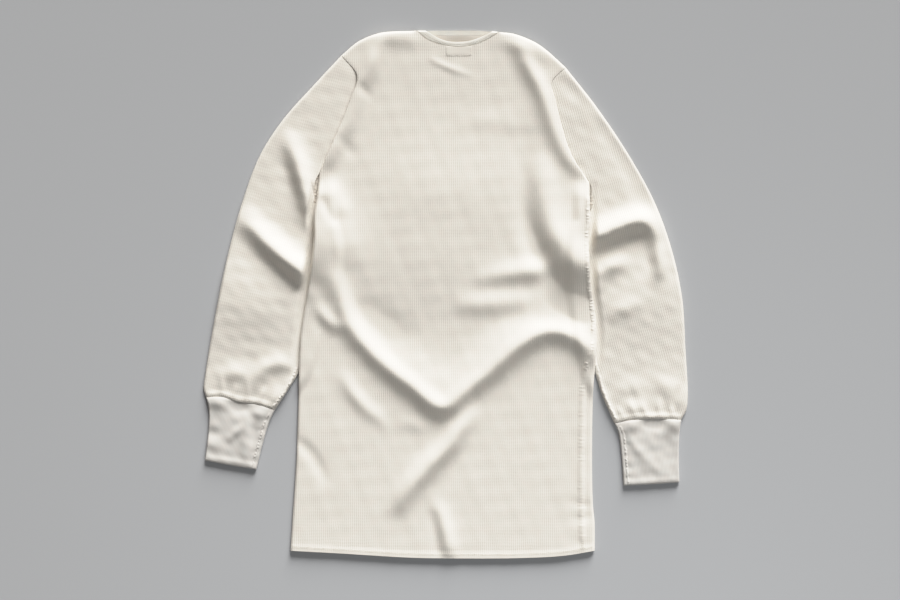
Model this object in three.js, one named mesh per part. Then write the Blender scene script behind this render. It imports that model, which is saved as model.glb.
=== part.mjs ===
import * as THREE from 'three';

// A waffle knit thermal base layer top. It lies flat on its front with its back up, and its sleeves are drawn
// down beside the body, their inner edges tucked beneath the body's sides. Millimetres: X runs across the
// body, Y from the hem to the neck, Z up from the surface that it lies on.

const WALL = 1.6; // one layer of knit
const SEAM = 0.3; // clear space between neighbouring pieces
const PRESSED = 2 * WALL + SEAM; // two layers lying on each other
const CLEAR = 0.6; // space between a tucked sleeve and the body over it
const BODY_AIR = 2.2; // slack between back and front
const SLEEVE_AIR = 1.8;
const CUFF_AIR = 0.6;
const BODY_EDGE = 5; // how far from its edge the body rounds over
const SLEEVE_EDGE = 4.5;
const CUFF_EDGE = 2.4;
const BAND_EDGE = 4;
const HEM_WIDTH = 8;
const HEM_RISE = 0.7; // the turned-up hem is thicker by this much
const HEM_STEP = 3;
const CENTRE = { x: 0.55, y: -0.05 }; // moves the whole garment so that its box is centred on the origin

// Outlines from above. Columns: x, y. Each runs down the garment or from its left to its right.
const OUTLINE = {
  leftSide: [[-191, 180], [-194, 147], [-199, 118], [-199, 81], [-207, 14], [-219, -69], [-222, -159],
    [-225, -249], [-231, -339], [-234, -385.5]],
  rightSide: [[216, 166.5], [216, 133], [217, 111], [214.5, 81], [217, 21], [225, -39], [226.5, -76],
    [221, -150], [220.5, -309], [223.5, -346], [223.5, -385.5]],
  leftArmhole: [[-157.5, 358.5], [-133.5, 327], [-144, 291], [-162, 246], [-191, 180]],
  rightArmhole: [[180, 340.5], [159, 318], [165, 291], [174, 253.5], [189, 208.5], [216, 166.5]],
  leftShoulder: [[-157.5, 358.5], [-132, 379.5], [-103.5, 391.5], [-84, 394.5], [-43.5, 395.5]],
  rightShoulder: [[79, 393.5], [100.5, 391.5], [132, 379.5], [150, 367.5], [180, 340.5]],
  hem: [[-234, -385.5], [-160, -389.5], [-50, -396], [20, -397], [110, -396.5], [177, -393], [223.5, -385.5]],
  backNeckSeam: [[-43.5, 395.5], [-30, 383.4], [-17.4, 377.7], [-2.4, 373.6], [18, 371.4], [37.5, 373.2],
    [55, 378.9], [68.7, 386.2], [79, 393.5]],
  backNeckEdge: [[-31.5, 395.3], [-23, 390.9], [-11.6, 384], [4.5, 378.9], [18, 378.2], [34.5, 379.5],
    [50.4, 384.6], [66.5, 392.1], [70, 394.5]],
  frontNeckSeam: [[-43.5, 395.5], [-20, 390], [18, 388.6], [56, 389.6], [79, 393.5]],
  frontNeckEdge: [[-31.5, 395.3], [-10, 396], [18, 396.3], [45, 396.1], [70, 394.5]],
};

const SLEEVES = {
  left: {
    armhole: OUTLINE.leftArmhole,
    outer: [[-157.5, 358.5], [-198, 315], [-246, 261], [-280.5, 207], [-307.5, 135], [-331.5, 45],
      [-349.5, -45], [-361.5, -117], [-364.5, -144], [-361, -155]],
    inner: [[-191, 180], [-197, 167], [-198.5, 150], [-192, 128], [-180, 100], [-175, 40], [-187, -10],
      [-203, -65], [-222, -118.5], [-243, -153], [-257, -174]],
    cuffSeam: [[-361, -155], [-337, -154.5], [-310.5, -162], [-284, -165.5], [-257, -174]],
    cuffOuter: [[-361, -155], [-357, -171], [-357, -202], [-362.5, -250]],
    cuffInner: [[-257, -174], [-267, -196.5], [-276, -228], [-285, -263.7]],
    cuffEnd: [[-362.5, -250], [-327, -257], [-285, -263.7]],
  },
  right: {
    armhole: OUTLINE.rightArmhole,
    outer: [[180, 340.5], [228, 279], [276, 207], [315, 135], [340.5, 63], [355.5, -9], [360, -81],
      [363.5, -150], [361.5, -174], [354, -189]],
    inner: [[216, 166.5], [223.5, 154], [223.5, 139], [216, 120], [206, 95], [200, 50], [203, 0], [212, -65],
      [225, -121.5], [235, -153], [252.75, -194]],
    cuffSeam: [[354, -189], [330, -187.5], [283, -188.5], [252.75, -194]],
    cuffOuter: [[354, -189], [351.5, -205], [350, -240], [351, -283]],
    cuffInner: [[252.75, -194], [259, -208], [263, -235], [267, -288]],
    cuffEnd: [[351, -283], [291, -287], [267, -288]],
  },
};

// Folds of the cloth. Each is a soft ridge along a line, or a trough where the height is below nought. Width
// is the spread of its flanks, and the columns of a line are x, y and height.
const BODY_FOLDS = [
  { name: 'vee', width: 10.5, line: [[-168, 30, 3], [-157, -10, 8], [-147, -40, 9], [-131, -66, 9.5],
    [-91, -107, 10], [-48, -141, 10.5], [-6, -172, 11.5], [34, -143, 10], [79, -106, 9.5], [112, -77, 10],
    [144, -57, 11], [174, -57, 11], [204, -74, 9], [226, -100, 4]] },
  { name: 'vee swell', width: 17, line: [[-70, -98, 3], [-36, -122, 4.5], [0, -148, 5], [38, -120, 6],
    [80, -82, 8], [112, -60, 7], [140, -48, 3]] },
  { name: 'vee trough', width: 15, line: [[-136, -18, -3], [-98, -42, -4], [-58, -70, -3]] },
  { name: 'right shoulder roll', width: 9, line: [[104, 380, 4], [124, 340, 8], [143, 303, 8],
    [160, 253.5, 7], [180, 208, 6], [203, 180, 4]] },
  { name: 'left shoulder roll', width: 10, line: [[-100, 388, 4], [-114, 343.5, 8], [-127, 313.5, 6],
    [-143, 268.5, 6], [-161, 231, 6], [-182, 190, 5]] },
  { name: 'right armpit bulge', width: 20, line: [[206, 158, 5], [198, 116, 8], [184, 82, 12],
    [174, 60, 15], [190, 44, 18], [220, 46, 20]] },
  { name: 'upper back swell', width: 55, line: [[-110, 140, 4], [0, 150, 7], [112, 138, 6]] },
  { name: 'right flank swell', width: 14, line: [[146, 196, 4], [147, 140, 7], [156, 98, 8],
    [170, 72, 7]] },
  { name: 'right flank trough', width: 12, line: [[121, 261, -1.5], [119, 150, -3.5], [123, 104, -5],
    [138, 66, -6], [156, 30, -6], [170, 4, -5]] },
  { name: 'right waist hollow', width: 13, line: [[158, -4, -5], [188, -16, -8], [222, -30, -12]] },
  { name: 'upper waist fold', width: 11, line: [[45, 22, 1], [81, 29, 4], [116, 33, 6.5], [150, 38, 9]] },
  { name: 'lower waist fold', width: 11, line: [[13, -14, 1.5], [51, -16, 4], [96, -12, 4], [130, -8, 2]] },
  { name: 'left flank bulge', width: 17, line: [[-184, 165, 4], [-176, 128, 6], [-174, 98, 5]] },
  { name: 'left waist swell', width: 34, line: [[-232, 84, 17], [-190, 74, 19], [-148, 64, 11]] },
  { name: 'left waist fold', width: 8, line: [[-206, 14, 1], [-199, -10, 3], [-187, -32, 4.5],
    [-171, -45, 4.5], [-158, -54, 2]] },
  { name: 'left flank fold', width: 8, line: [[-174, 171, 2], [-151, 120, 3]] },
  { name: 'left hip fold', width: 8, line: [[-159, -117, 1], [-141, -148, 3.5], [-117, -174, 3.5],
    [-91, -197, 1]] },
  { name: 'small hip fold', width: 8, line: [[-69, -189, 1.5], [-31, -201, 1.5]] },
  { name: 'slanting fold', width: 11, line: [[44, -170, 3], [24, -196, 9], [3, -228, 11], [-27, -259, 11],
    [-54, -292, 9], [-76, -326, 3]] },
  { name: 'hem fold', width: 9, line: [[-15, -309, 1], [-3, -346, 5], [4, -391, 5.5]] },
  { name: 'hem trough', width: 6, line: [[-21, -327, -1.4], [-9, -393, -1.8]] },
  { name: 'left hem crease', width: 6, line: [[-225, -219, -1.8], [-204, -238, -2.2], [-189, -261, -2.2],
    [-181, -282, -1]] },
  { name: 'left neck swell', width: 9, line: [[-106, 386, 3], [-69, 385, 3], [-39, 382, 1]] },
  { name: 'right neck swell', width: 9, line: [[76, 382, 1], [111, 376, 3], [148, 357, 3]] },
];
const SLEEVE_FOLDS = {
  left: [
    { name: 'cap fold', width: 10, line: [[-236, 236, 4], [-221, 193, 11], [-213, 156, 13],
      [-205, 118, 11], [-198, 92, 6]] },
    { name: 'elbow fold', width: 12, line: [[-306, 120, 4], [-278, 86, 13], [-244, 55, 17],
      [-214, 33, 18], [-193, 20, 15]] },
    { name: 'outer gather', width: 10, line: [[-336, -126, 3], [-316, -117, 4.5], [-298, -126, 2.5]] },
    { name: 'middle gather', width: 9, line: [[-294, -141, 2.5], [-276, -115, 5], [-255, -103, 5],
      [-234, -108, 2.5]] },
    { name: 'inner gather', width: 8, line: [[-244, -144, 3], [-261, -157, 3]] },
  ],
  right: [
    { name: 'edge trough', width: 8, line: [[231, 253, -1.5], [253, 216, -2], [279, 178, -2.5],
      [298, 141, -2], [309, 103, -1.5]] },
    { name: 'elbow fold', width: 11, line: [[213, 81, 16], [249, 97, 17], [279, 109, 17], [300, 112, 14],
      [312, 93, 9], [317, 58, 4]] },
    { name: 'second fold', width: 8, line: [[216, 27, 5], [249, 42, 5], [279, 54, 4]] },
    { name: 'third fold', width: 9, line: [[249, -27, 3], [283, -18, 3]] },
    { name: 'inner gather', width: 9, line: [[264, -141, 3.5], [294, -145, 2.5]] },
    { name: 'outer gather', width: 10, line: [[313, -129, 1.5], [343, -147, 3.5], [351, -172, 3]] },
    { name: 'seam gather', width: 8, line: [[273, -177, 3], [298, -167, 3]] },
    { name: 'shoulder crease', width: 6, line: [[171, 321, -1.5], [186, 306, -1.5], [201, 295, -1.5]] },
  ],
};

const STEPS_PER_SPAN = 8; // points worked out on each span of an outline
const LENGTH_CHECKS = 4; // how much closer together its length is measured
const FOLD_STEP = 0.6; // spacing of a fold's samples, as a share of its width
const FOLD_END = 12; // a sample adds nothing where its bell's exponent is past this
// Where the body lies over a tucked sleeve: how far past the sleeve's inner edge it stays lifted, the slope
// down from there, and the heights between which it is lifted. Above steady the inner edge counts as straight.
const SEAT = { under: 9, ramp: 16, top: 145, topFade: 28, steady: 110, bottom: -135, bottomFade: 34 };
const FADE_START = 7; // a sleeve's folds flatten towards the body's edge, to nothing at this distance from it
const FADE = 15;
const SLEEVE_SHIFT = 1.2; // each sleeve stands clear of its armhole by this much
const BAND_SHIFT = 0.9; // and the neck band of the neck's edge

const smooth = (t) => THREE.MathUtils.smoothstep(t, 0, 1);
const mix = (a, b, t) => a.map((value, i) => value + (b[i] - value) * t);
const distance = (a, b) => Math.hypot(a[0] - b[0], a[1] - b[1]);

// A smooth curve through the rows of a table, as evenly spaced as its length allows. at(t) takes 0 to 1.
function curveThrough(rows) {
  const curve = new THREE.CatmullRomCurve3(
    rows.map(([x, y, z = 0]) => new THREE.Vector3(x, y, z)), false, 'centripetal');
  curve.arcLengthDivisions = rows.length * STEPS_PER_SPAN * LENGTH_CHECKS;
  const points = curve.getSpacedPoints(rows.length * STEPS_PER_SPAN).map((p) => p.toArray());
  const at = (t) => {
    const place = Math.min(Math.max(t, 0), 1) * (points.length - 1);
    const index = Math.min(Math.floor(place), points.length - 2);
    return mix(points[index], points[index + 1], place - index);
  };
  return { at, points };
}

// Where an outline crosses a line: its x at a height y or, along axis 0, its y at a given x.
function crossingAt(curve, value, axis = 1) {
  const rising = curve.points[0][axis] < curve.points.at(-1)[axis];
  const points = rising ? curve.points : [...curve.points].reverse();
  const found = points.findIndex((p) => p[axis] > value);
  const index = found < 0 ? points.length - 1 : Math.max(found, 1);
  const [low, high] = [points[index - 1], points[index]];
  const share = (value - low[axis]) / (high[axis] - low[axis]);
  return mix(low, high, Math.min(Math.max(share, 0), 1))[1 - axis];
}

// The height that a table of folds adds at a point: bell-shaped samples along each line, summed.
function reliefOf(folds) {
  const samples = folds.flatMap(({ width, line }) => {
    const curve = curveThrough(line);
    const length = curve.points.slice(1).reduce((sum, p, i) => sum + distance(p, curve.points[i]), 0);
    const count = Math.ceil(length / (width * FOLD_STEP));
    return Array.from({ length: count }, (_, i) => {
      const [x, y, height] = curve.at((i + 0.5) / count);
      return { x, y, width, weight: (height * length) / count / (width * Math.sqrt(2 * Math.PI)) };
    });
  });
  return (x, y) => samples.reduce((sum, s) => {
    const reach = ((x - s.x) ** 2 + (y - s.y) ** 2) / (2 * s.width ** 2);
    return reach > FOLD_END ? sum : sum + s.weight * Math.exp(-reach);
  }, 0);
}

// Slack that never falls below nought, however deep a trough is.
const slack = (height) => 0.5 * (height + Math.sqrt(height * height + 1));

// A patch between four curves: bottom and top run along u, left and right along v. Straight rows join left to
// right, and the bow of the bottom and top curves fades from row to row. A higher power fades it sooner.
function patchBetween({ bottom, top, left, right, power = 1 }) {
  const bow = (curve, u) => mix(curve(0), curve(1), u).map((value, i) => curve(u)[i] - value);
  return (u, v) => mix(left(v), right(v), u).map((value, i) => value
    + bow(bottom, u)[i] * (1 - v) ** power + bow(top, u)[i] * v ** power);
}

// Places across a flattened tube: three angles round each edge, then some at set distances further in, and
// even steps over what is left in the middle.
const EDGE_DEGREES = [0, 22, 48];
function placesAcross(steps, nearRows = [0]) {
  const flat = Math.PI / 2;
  const round = EDGE_DEGREES.map((degrees) => ({ angle: THREE.MathUtils.degToRad(degrees), inward: 0 }));
  const side = [...round, ...nearRows.map((inward) => ({ angle: flat, inward }))];
  const border = nearRows.at(-1);
  return [
    ...side.map((place) => ({ ...place, edge: 0 })),
    ...Array.from({ length: steps - 1 }, (_, i) => ({ share: (i + 1) / steps, angle: flat, border })),
    ...side.reverse().map((place) => ({ ...place, edge: 1 })),
  ];
}

// One point of a flattened tube. Over an edge the outer skin is a quarter of an ellipse, and the inner skin a
// smaller one, a wall further in. side is 1 on top and -1 beneath, and the two sides meet in a plane just over
// the lower wall. lift keeps them apart there where they are separate panels.
function tubePoint(tube, place, v, side, skin) {
  const [start, end] = [tube.plan(0, v, side), tube.plan(1, v, side)];
  const width = distance(start, end);
  const inset = skin === 'inner' ? WALL : 0;
  const reach = inset + (tube.edge - inset) * (1 - Math.cos(place.angle));
  const rim = (tube.edge + (place.border ?? 0)) / width;
  const u = place.edge === undefined
    ? rim + (1 - 2 * rim) * place.share
    : Math.abs(place.edge - (reach + place.inward) / width);
  const [x, y] = tube.plan(u, v, side);
  const bottom = tube.bottom(x, y);
  const middle = bottom + PRESSED / 2;
  const full = side > 0 ? tube.top(x, y) - middle : middle - bottom;
  const half = Math.max(full - inset, SEAM / 2);
  const cap = tube.cap ? tube.cap(u, v) : 1;
  const height = tube.lift + (half - tube.lift) * Math.sin(place.angle) * cap;
  return [x, y, middle + side * height];
}

// A closed mesh from rings of points: rows[j][i] is ring j's point i. Each ring is closed, and the first and
// last rings are joined by ends, so outer and inner skins make one wall.
function wallMesh(outer, inner, closed) {
  const rows = outer.length;
  const count = outer[0].length;
  const positions = [...outer.flat(), ...inner.flat()].flat();
  const indices = [];
  const at = (layer, j, i) => layer * rows * count + j * count + (i % count);
  const quad = (a, b, c, d) => indices.push(a, b, c, a, c, d);
  const across = closed ? count : count - 1;
  for (let j = 0; j < rows - 1; j += 1) {
    for (let i = 0; i < across; i += 1) {
      quad(at(0, j, i), at(0, j, i + 1), at(0, j + 1, i + 1), at(0, j + 1, i));
      quad(at(1, j, i), at(1, j + 1, i), at(1, j + 1, i + 1), at(1, j, i + 1));
    }
    if (!closed) {
      quad(at(0, j, 0), at(0, j + 1, 0), at(1, j + 1, 0), at(1, j, 0));
      quad(at(0, j + 1, count - 1), at(0, j, count - 1), at(1, j, count - 1), at(1, j + 1, count - 1));
    }
  }
  for (let i = 0; i < across; i += 1) {
    quad(at(0, 0, i + 1), at(0, 0, i), at(1, 0, i), at(1, 0, i + 1));
    quad(at(0, rows - 1, i), at(0, rows - 1, i + 1), at(1, rows - 1, i + 1), at(1, rows - 1, i));
  }
  const geometry = new THREE.BufferGeometry();
  geometry.setAttribute('position', new THREE.Float32BufferAttribute(positions, 3));
  geometry.setIndex(indices);
  geometry.computeVertexNormals();
  return geometry;
}

// One side of a flattened tube, top or bottom, as an open panel with a wall.
function panelOf(tube, places, stations, side) {
  const order = side > 0 ? places : [...places].reverse();
  const skin = (name) => stations.map((v) => order.map((place) => tubePoint(tube, place, v, side, name)));
  return wallMesh(skin('outer'), skin('inner'), false);
}

// A whole flattened tube, open at both ends.
function ringOf(tube, places, stations) {
  const back = [...places].reverse().slice(1, -1);
  const skin = (name) => stations.map((v) => [
    ...places.map((place) => tubePoint(tube, place, v, 1, name)),
    ...back.map((place) => tubePoint(tube, place, v, -1, name)),
  ]);
  return wallMesh(skin('outer'), skin('inner'), true);
}

function evenly(from, to, steps) {
  return Array.from({ length: steps + 1 }, (_, i) => from + ((to - from) * i) / steps);
}

const KNIT = new THREE.MeshStandardMaterial({ color: 0xe4e0d5, roughness: 0.95, metalness: 0 });
const RIB = new THREE.MeshStandardMaterial({ color: 0xdddad4, roughness: 0.95, metalness: 0 });
const BINDING = new THREE.MeshStandardMaterial({ color: 0xe6e2d8, roughness: 0.9, metalness: 0 });

function piece(name, geometry, material) {
  const mesh = new THREE.Mesh(geometry, material);
  mesh.name = name;
  return mesh;
}

const curves = Object.fromEntries(Object.entries(OUTLINE).map(([name, rows]) => [name, curveThrough(rows)]));
const sleeveCurves = Object.fromEntries(Object.entries(SLEEVES).map(([hand, rows]) => [
  hand, Object.fromEntries(Object.entries(rows).map(([name, line]) => [name, curveThrough(line)])),
]));

// How much of a sleeve's relief is left at a point, from 0 beneath the body to 1 clear of it.
function clearOfBody(hand, x, y) {
  const side = hand === 'left' ? curves.leftSide : curves.rightSide;
  const outward = hand === 'left' ? crossingAt(side, y) - x : x - crossingAt(side, y);
  const above = smooth((y - SEAT.top) / SEAT.topFade);
  return Math.max(above, smooth((outward - FADE_START) / FADE));
}

// How far the body is lifted by a sleeve tucked beneath it, from 0 to 1.
function seatOn(hand, x, y) {
  const inner = crossingAt(sleeveCurves[hand].inner, Math.min(y, SEAT.steady));
  const inward = hand === 'left' ? x - inner : inner - x;
  const across = 1 - smooth((inward - SEAT.under) / SEAT.ramp);
  const down = smooth((SEAT.top + SEAT.topFade - y) / SEAT.topFade);
  const up = smooth((y - SEAT.bottom + SEAT.bottomFade) / SEAT.bottomFade);
  return across * down * up;
}

const bodyRelief = reliefOf(BODY_FOLDS);
const bodyBottom = (x, y) => (PRESSED + CLEAR) * Math.max(seatOn('left', x, y), seatOn('right', x, y));
function bodyTop(x, y) {
  const hem = 1 - smooth((y - crossingAt(curves.hem, x, 0) - HEM_WIDTH) / HEM_STEP);
  return bodyBottom(x, y) + PRESSED + slack(BODY_AIR + bodyRelief(x, y)) + HEM_RISE * hem;
}

// The body's sides run from the hem up to the armpit and on round the armhole to the shoulder.
const ARMPIT_SHARE = 0.75; // where the armpit lies between the hem and the shoulder
function sideWithArmhole(side, armhole) {
  return (v) => (v < ARMPIT_SHARE
    ? side.at(1 - v / ARMPIT_SHARE)
    : armhole.at(1 - (v - ARMPIT_SHARE) / (1 - ARMPIT_SHARE)));
}

const SHOULDER_SHARE = 1 / 3; // each shoulder's part of the top edge, and the neck's
function topEdge(neck) {
  return (u) => {
    const place = u / SHOULDER_SHARE;
    if (place < 1) return curves.leftShoulder.at(place);
    return place > 2 ? curves.rightShoulder.at(place - 2) : neck.at(place - 1);
  };
}

const bodySides = {
  bottom: (u) => curves.hem.at(u),
  left: sideWithArmhole(curves.leftSide, curves.leftArmhole),
  right: sideWithArmhole(curves.rightSide, curves.rightArmhole),
};
const backPlan = patchBetween({ ...bodySides, top: topEdge(curves.backNeckSeam) });
const frontPlan = patchBetween({ ...bodySides, top: topEdge(curves.frontNeckSeam) });

const BODY_HEIGHT = 770; // hem to shoulder along the middle
const WAIST_SHARE = 0.27;
const NEAR_SIDE = [0, 12, 24, 36, 48, 62]; // places that follow a tucked sleeve, from the edge inwards
const SHOULDER_FADE = 0.03; // share of the top edge over which the shoulder's rounding ends at the neck
const body = {
  edge: BODY_EDGE,
  lift: SEAM / 2,
  plan: (u, v, side) => (side > 0 ? backPlan(u, v) : frontPlan(u, v)),
  top: bodyTop,
  bottom: bodyBottom,
  // The shoulders round over like the sides, and the neck stays open.
  cap: (u, v) => {
    const down = Math.min(((1 - v) * BODY_HEIGHT) / BODY_EDGE, 1);
    const rounded = Math.sqrt(1 - (1 - down) ** 2);
    const neck = smooth((u - SHOULDER_SHARE) / SHOULDER_FADE + 1)
      * smooth((1 - SHOULDER_SHARE - u) / SHOULDER_FADE + 1);
    return rounded + (1 - rounded) * neck;
  },
};
// Rows of points up the body: close together over the folds, and through the armholes to the shoulders.
const HEM_END = 0.035; // share of the height where the rows above the hem start
const BODY_ROWS = { backBelowWaist: 9, frontBelowWaist: 3, aboveWaist: 20, armhole: 11 };
const SHOULDER_ROWS = [0.45, 0.12]; // distances from the shoulder's edge, as shares of its rounding
function bodyStations(belowWaist) {
  const shoulder = 1 - BODY_EDGE / BODY_HEIGHT;
  return [0, HEM_WIDTH / BODY_HEIGHT, ...evenly(HEM_END, WAIST_SHARE, belowWaist),
    ...evenly(WAIST_SHARE, ARMPIT_SHARE, BODY_ROWS.aboveWaist).slice(1),
    ...evenly(ARMPIT_SHARE, shoulder, BODY_ROWS.armhole).slice(1),
    ...SHOULDER_ROWS.map((share) => 1 - (share * BODY_EDGE) / BODY_HEIGHT), 1];
}

const OUTER_LEAD = 0.8; // rows run ahead along the outer edge, so that they cross the sleeve squarely
const ARMHOLE_BOW = 8; // power at which the armhole's bow fades down the sleeve
const outwardOf = (hand) => ({ x: hand === 'left' ? -SLEEVE_SHIFT : SLEEVE_SHIFT, y: 0 });
const shifted = (plan, by) => (u, v, side) => {
  const [x, y] = plan(u, v, side);
  return [x + by.x, y + by.y];
};

function sleeveTube(hand) {
  const { armhole, outer, inner, cuffSeam } = sleeveCurves[hand];
  const relief = reliefOf(SLEEVE_FOLDS[hand]);
  const plan = patchBetween({
    bottom: armhole.at,
    top: cuffSeam.at,
    left: (v) => outer.at(v + OUTER_LEAD * v * (1 - v)),
    right: inner.at,
    power: ARMHOLE_BOW,
  });
  return {
    edge: SLEEVE_EDGE,
    lift: 0,
    plan: shifted(plan, outwardOf(hand)),
    top: (x, y) => PRESSED + slack(SLEEVE_AIR + relief(x, y)) * clearOfBody(hand, x, y),
    bottom: () => 0,
  };
}

function cuffTube(hand) {
  const { cuffSeam, cuffOuter, cuffInner, cuffEnd } = sleeveCurves[hand];
  return {
    edge: CUFF_EDGE,
    lift: 0,
    plan: shifted(patchBetween({
      bottom: cuffSeam.at, top: cuffEnd.at, left: cuffOuter.at, right: cuffInner.at,
    }), outwardOf(hand)),
    top: () => PRESSED + CUFF_AIR,
    bottom: () => 0,
  };
}

// The neck band is a short flattened tube too: along the back of the neck and back along the front.
const neckBand = {
  edge: BAND_EDGE,
  lift: 0,
  plan: shifted((u, v, side) => (side > 0
    ? mix(curves.backNeckSeam.at(u), curves.backNeckEdge.at(u), v)
    : mix(curves.frontNeckSeam.at(u), curves.frontNeckEdge.at(u), v)), { x: 0, y: BAND_SHIFT }),
  top: bodyTop,
  bottom: () => 0,
};

// The rings' curved ends are drawn back a little, so that neighbours with fewer or more points never touch.
const END_GAPS = { armhole: 0.0004, wrist: 0.0008, cuff: 0.003, band: 0.03 }; // shares of each ring's length
const COLUMNS = { back: 18, front: 9, sleeve: 9, band: 12 }; // even steps across each piece
const RING_ROWS = { sleeve: 21, cuff: 3, band: 2 };
const mirrorRing = (tube) => ({ ...tube, plan: (u, v, side) => tube.plan(1 - u, v, side) });

const garment = new THREE.Group();
garment.add(piece('body_back',
  panelOf(body, placesAcross(COLUMNS.back, NEAR_SIDE), bodyStations(BODY_ROWS.backBelowWaist), 1), KNIT));
garment.add(piece('body_front',
  panelOf(body, placesAcross(COLUMNS.front, NEAR_SIDE), bodyStations(BODY_ROWS.frontBelowWaist), -1), KNIT));
for (const hand of ['left', 'right']) {
  const turned = hand === 'left' ? mirrorRing : (tube) => tube;
  const sleeveRows = evenly(END_GAPS.armhole, 1 - END_GAPS.wrist, RING_ROWS.sleeve);
  const cuffRows = evenly(END_GAPS.cuff, 1, RING_ROWS.cuff);
  const places = placesAcross(COLUMNS.sleeve);
  garment.add(piece(`sleeve_${hand}`, ringOf(turned(sleeveTube(hand)), places, sleeveRows), KNIT));
  garment.add(piece(`cuff_${hand}`, ringOf(turned(cuffTube(hand)), places, cuffRows), RIB));
}
const bandRows = evenly(END_GAPS.band, 1, RING_ROWS.band);
garment.add(piece('neck_band', ringOf(neckBand, placesAcross(COLUMNS.band), bandRows), BINDING));
garment.position.set(CENTRE.x, CENTRE.y, 0);

export default garment;
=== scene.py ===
"""A waffle knit thermal base layer top, laid flat on its front with its back up and its sleeves drawn down.

Tables are in millimetres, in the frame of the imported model: X across the body, Y from hem to neck, Z up from
the surface. Meshes are in metres. Each piece of cloth is a thin closed shell over its solid's form.
"""

import logging
import math
from collections.abc import Callable, Sequence
from dataclasses import dataclass, field
from enum import Enum
from functools import partial

import bpy
import numpy as np
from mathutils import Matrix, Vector


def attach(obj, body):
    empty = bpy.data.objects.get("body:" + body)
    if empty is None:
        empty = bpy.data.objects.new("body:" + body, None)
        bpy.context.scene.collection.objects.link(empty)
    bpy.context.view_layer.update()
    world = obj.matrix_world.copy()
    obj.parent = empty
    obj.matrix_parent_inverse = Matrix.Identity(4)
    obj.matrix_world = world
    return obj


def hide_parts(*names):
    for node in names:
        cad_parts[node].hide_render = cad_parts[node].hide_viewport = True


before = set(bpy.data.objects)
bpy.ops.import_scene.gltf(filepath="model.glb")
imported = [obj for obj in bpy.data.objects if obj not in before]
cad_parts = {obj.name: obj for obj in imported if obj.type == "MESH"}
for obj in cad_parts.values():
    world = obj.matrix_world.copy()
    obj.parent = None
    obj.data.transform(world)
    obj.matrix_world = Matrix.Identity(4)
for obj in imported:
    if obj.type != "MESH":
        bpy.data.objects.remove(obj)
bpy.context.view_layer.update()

LOG = logging.getLogger("thermal_top")
MM = 0.001

Array = np.ndarray
Plan = Callable[[Array, Array, int], Array]
Height = Callable[[Array, Array], Array]

# Thickness of the cloth, gap at a seam, two layers pressed flat, and gap over a tucked sleeve, in mm
WALL = 1.5
SEAM = 0.4
PRESSED = 3.5
CLEAR = 0.6
# How far slack cloth stands above the pressed layers, in mm
BODY_AIR = 2.2
SLEEVE_AIR = 1.8
CUFF_AIR = 2.1
# From the tables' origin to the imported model's, in mm
CENTRE = (0.55, -0.05)

OUTLINE = {
    "leftSide": [(-191, 180), (-194, 147), (-199, 118), (-199, 81), (-207, 14), (-219, -69), (-222, -159),
        (-225, -249), (-231, -339), (-234, -385.5)],
    "rightSide": [(216, 166.5), (216, 133), (217, 111), (214.5, 81), (217, 21), (225, -39), (226.5, -76),
        (221, -150), (220.5, -309), (223.5, -346), (223.5, -385.5)],
    "leftArmhole": [(-157.5, 358.5), (-133.5, 327), (-144, 291), (-162, 246), (-191, 180)],
    "rightArmhole": [(180, 340.5), (159, 318), (165, 291), (174, 253.5), (189, 208.5), (216, 166.5)],
    "leftShoulder": [(-157.5, 358.5), (-132, 379.5), (-103.5, 391.5), (-84, 394.5), (-43.5, 395.5)],
    "rightShoulder": [(79, 393.5), (100.5, 391.5), (132, 379.5), (150, 367.5), (180, 340.5)],
    "hem": [(-234, -385.5), (-160, -389.5), (-50, -396), (20, -397), (110, -396.5), (177, -393),
        (223.5, -385.5)],
    "backNeckSeam": [(-43.5, 395.5), (-30, 383.4), (-17.4, 377.7), (-2.4, 373.6), (18, 371.4), (37.5, 373.2),
        (55, 378.9), (68.7, 386.2), (79, 393.5)],
    "backNeckEdge": [(-31.5, 395.3), (-23, 390.9), (-11.6, 384), (4.5, 378.9), (18, 378.2), (34.5, 379.5),
        (50.4, 384.6), (66.5, 392.1), (70, 394.5)],
    "frontNeckSeam": [(-43.5, 395.5), (-20, 390), (18, 388.6), (56, 389.6), (79, 393.5)],
    "frontNeckEdge": [(-31.5, 395.3), (-10, 396), (18, 396.3), (45, 396.1), (70, 394.5)],
}


class Hand(Enum):
    """A side of the garment, as seen from above with the neck away."""

    LEFT = "left"
    RIGHT = "right"

    @property
    def outward(self) -> int:
        """The sign of X that points away from the body."""
        return -1 if self is Hand.LEFT else 1


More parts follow.
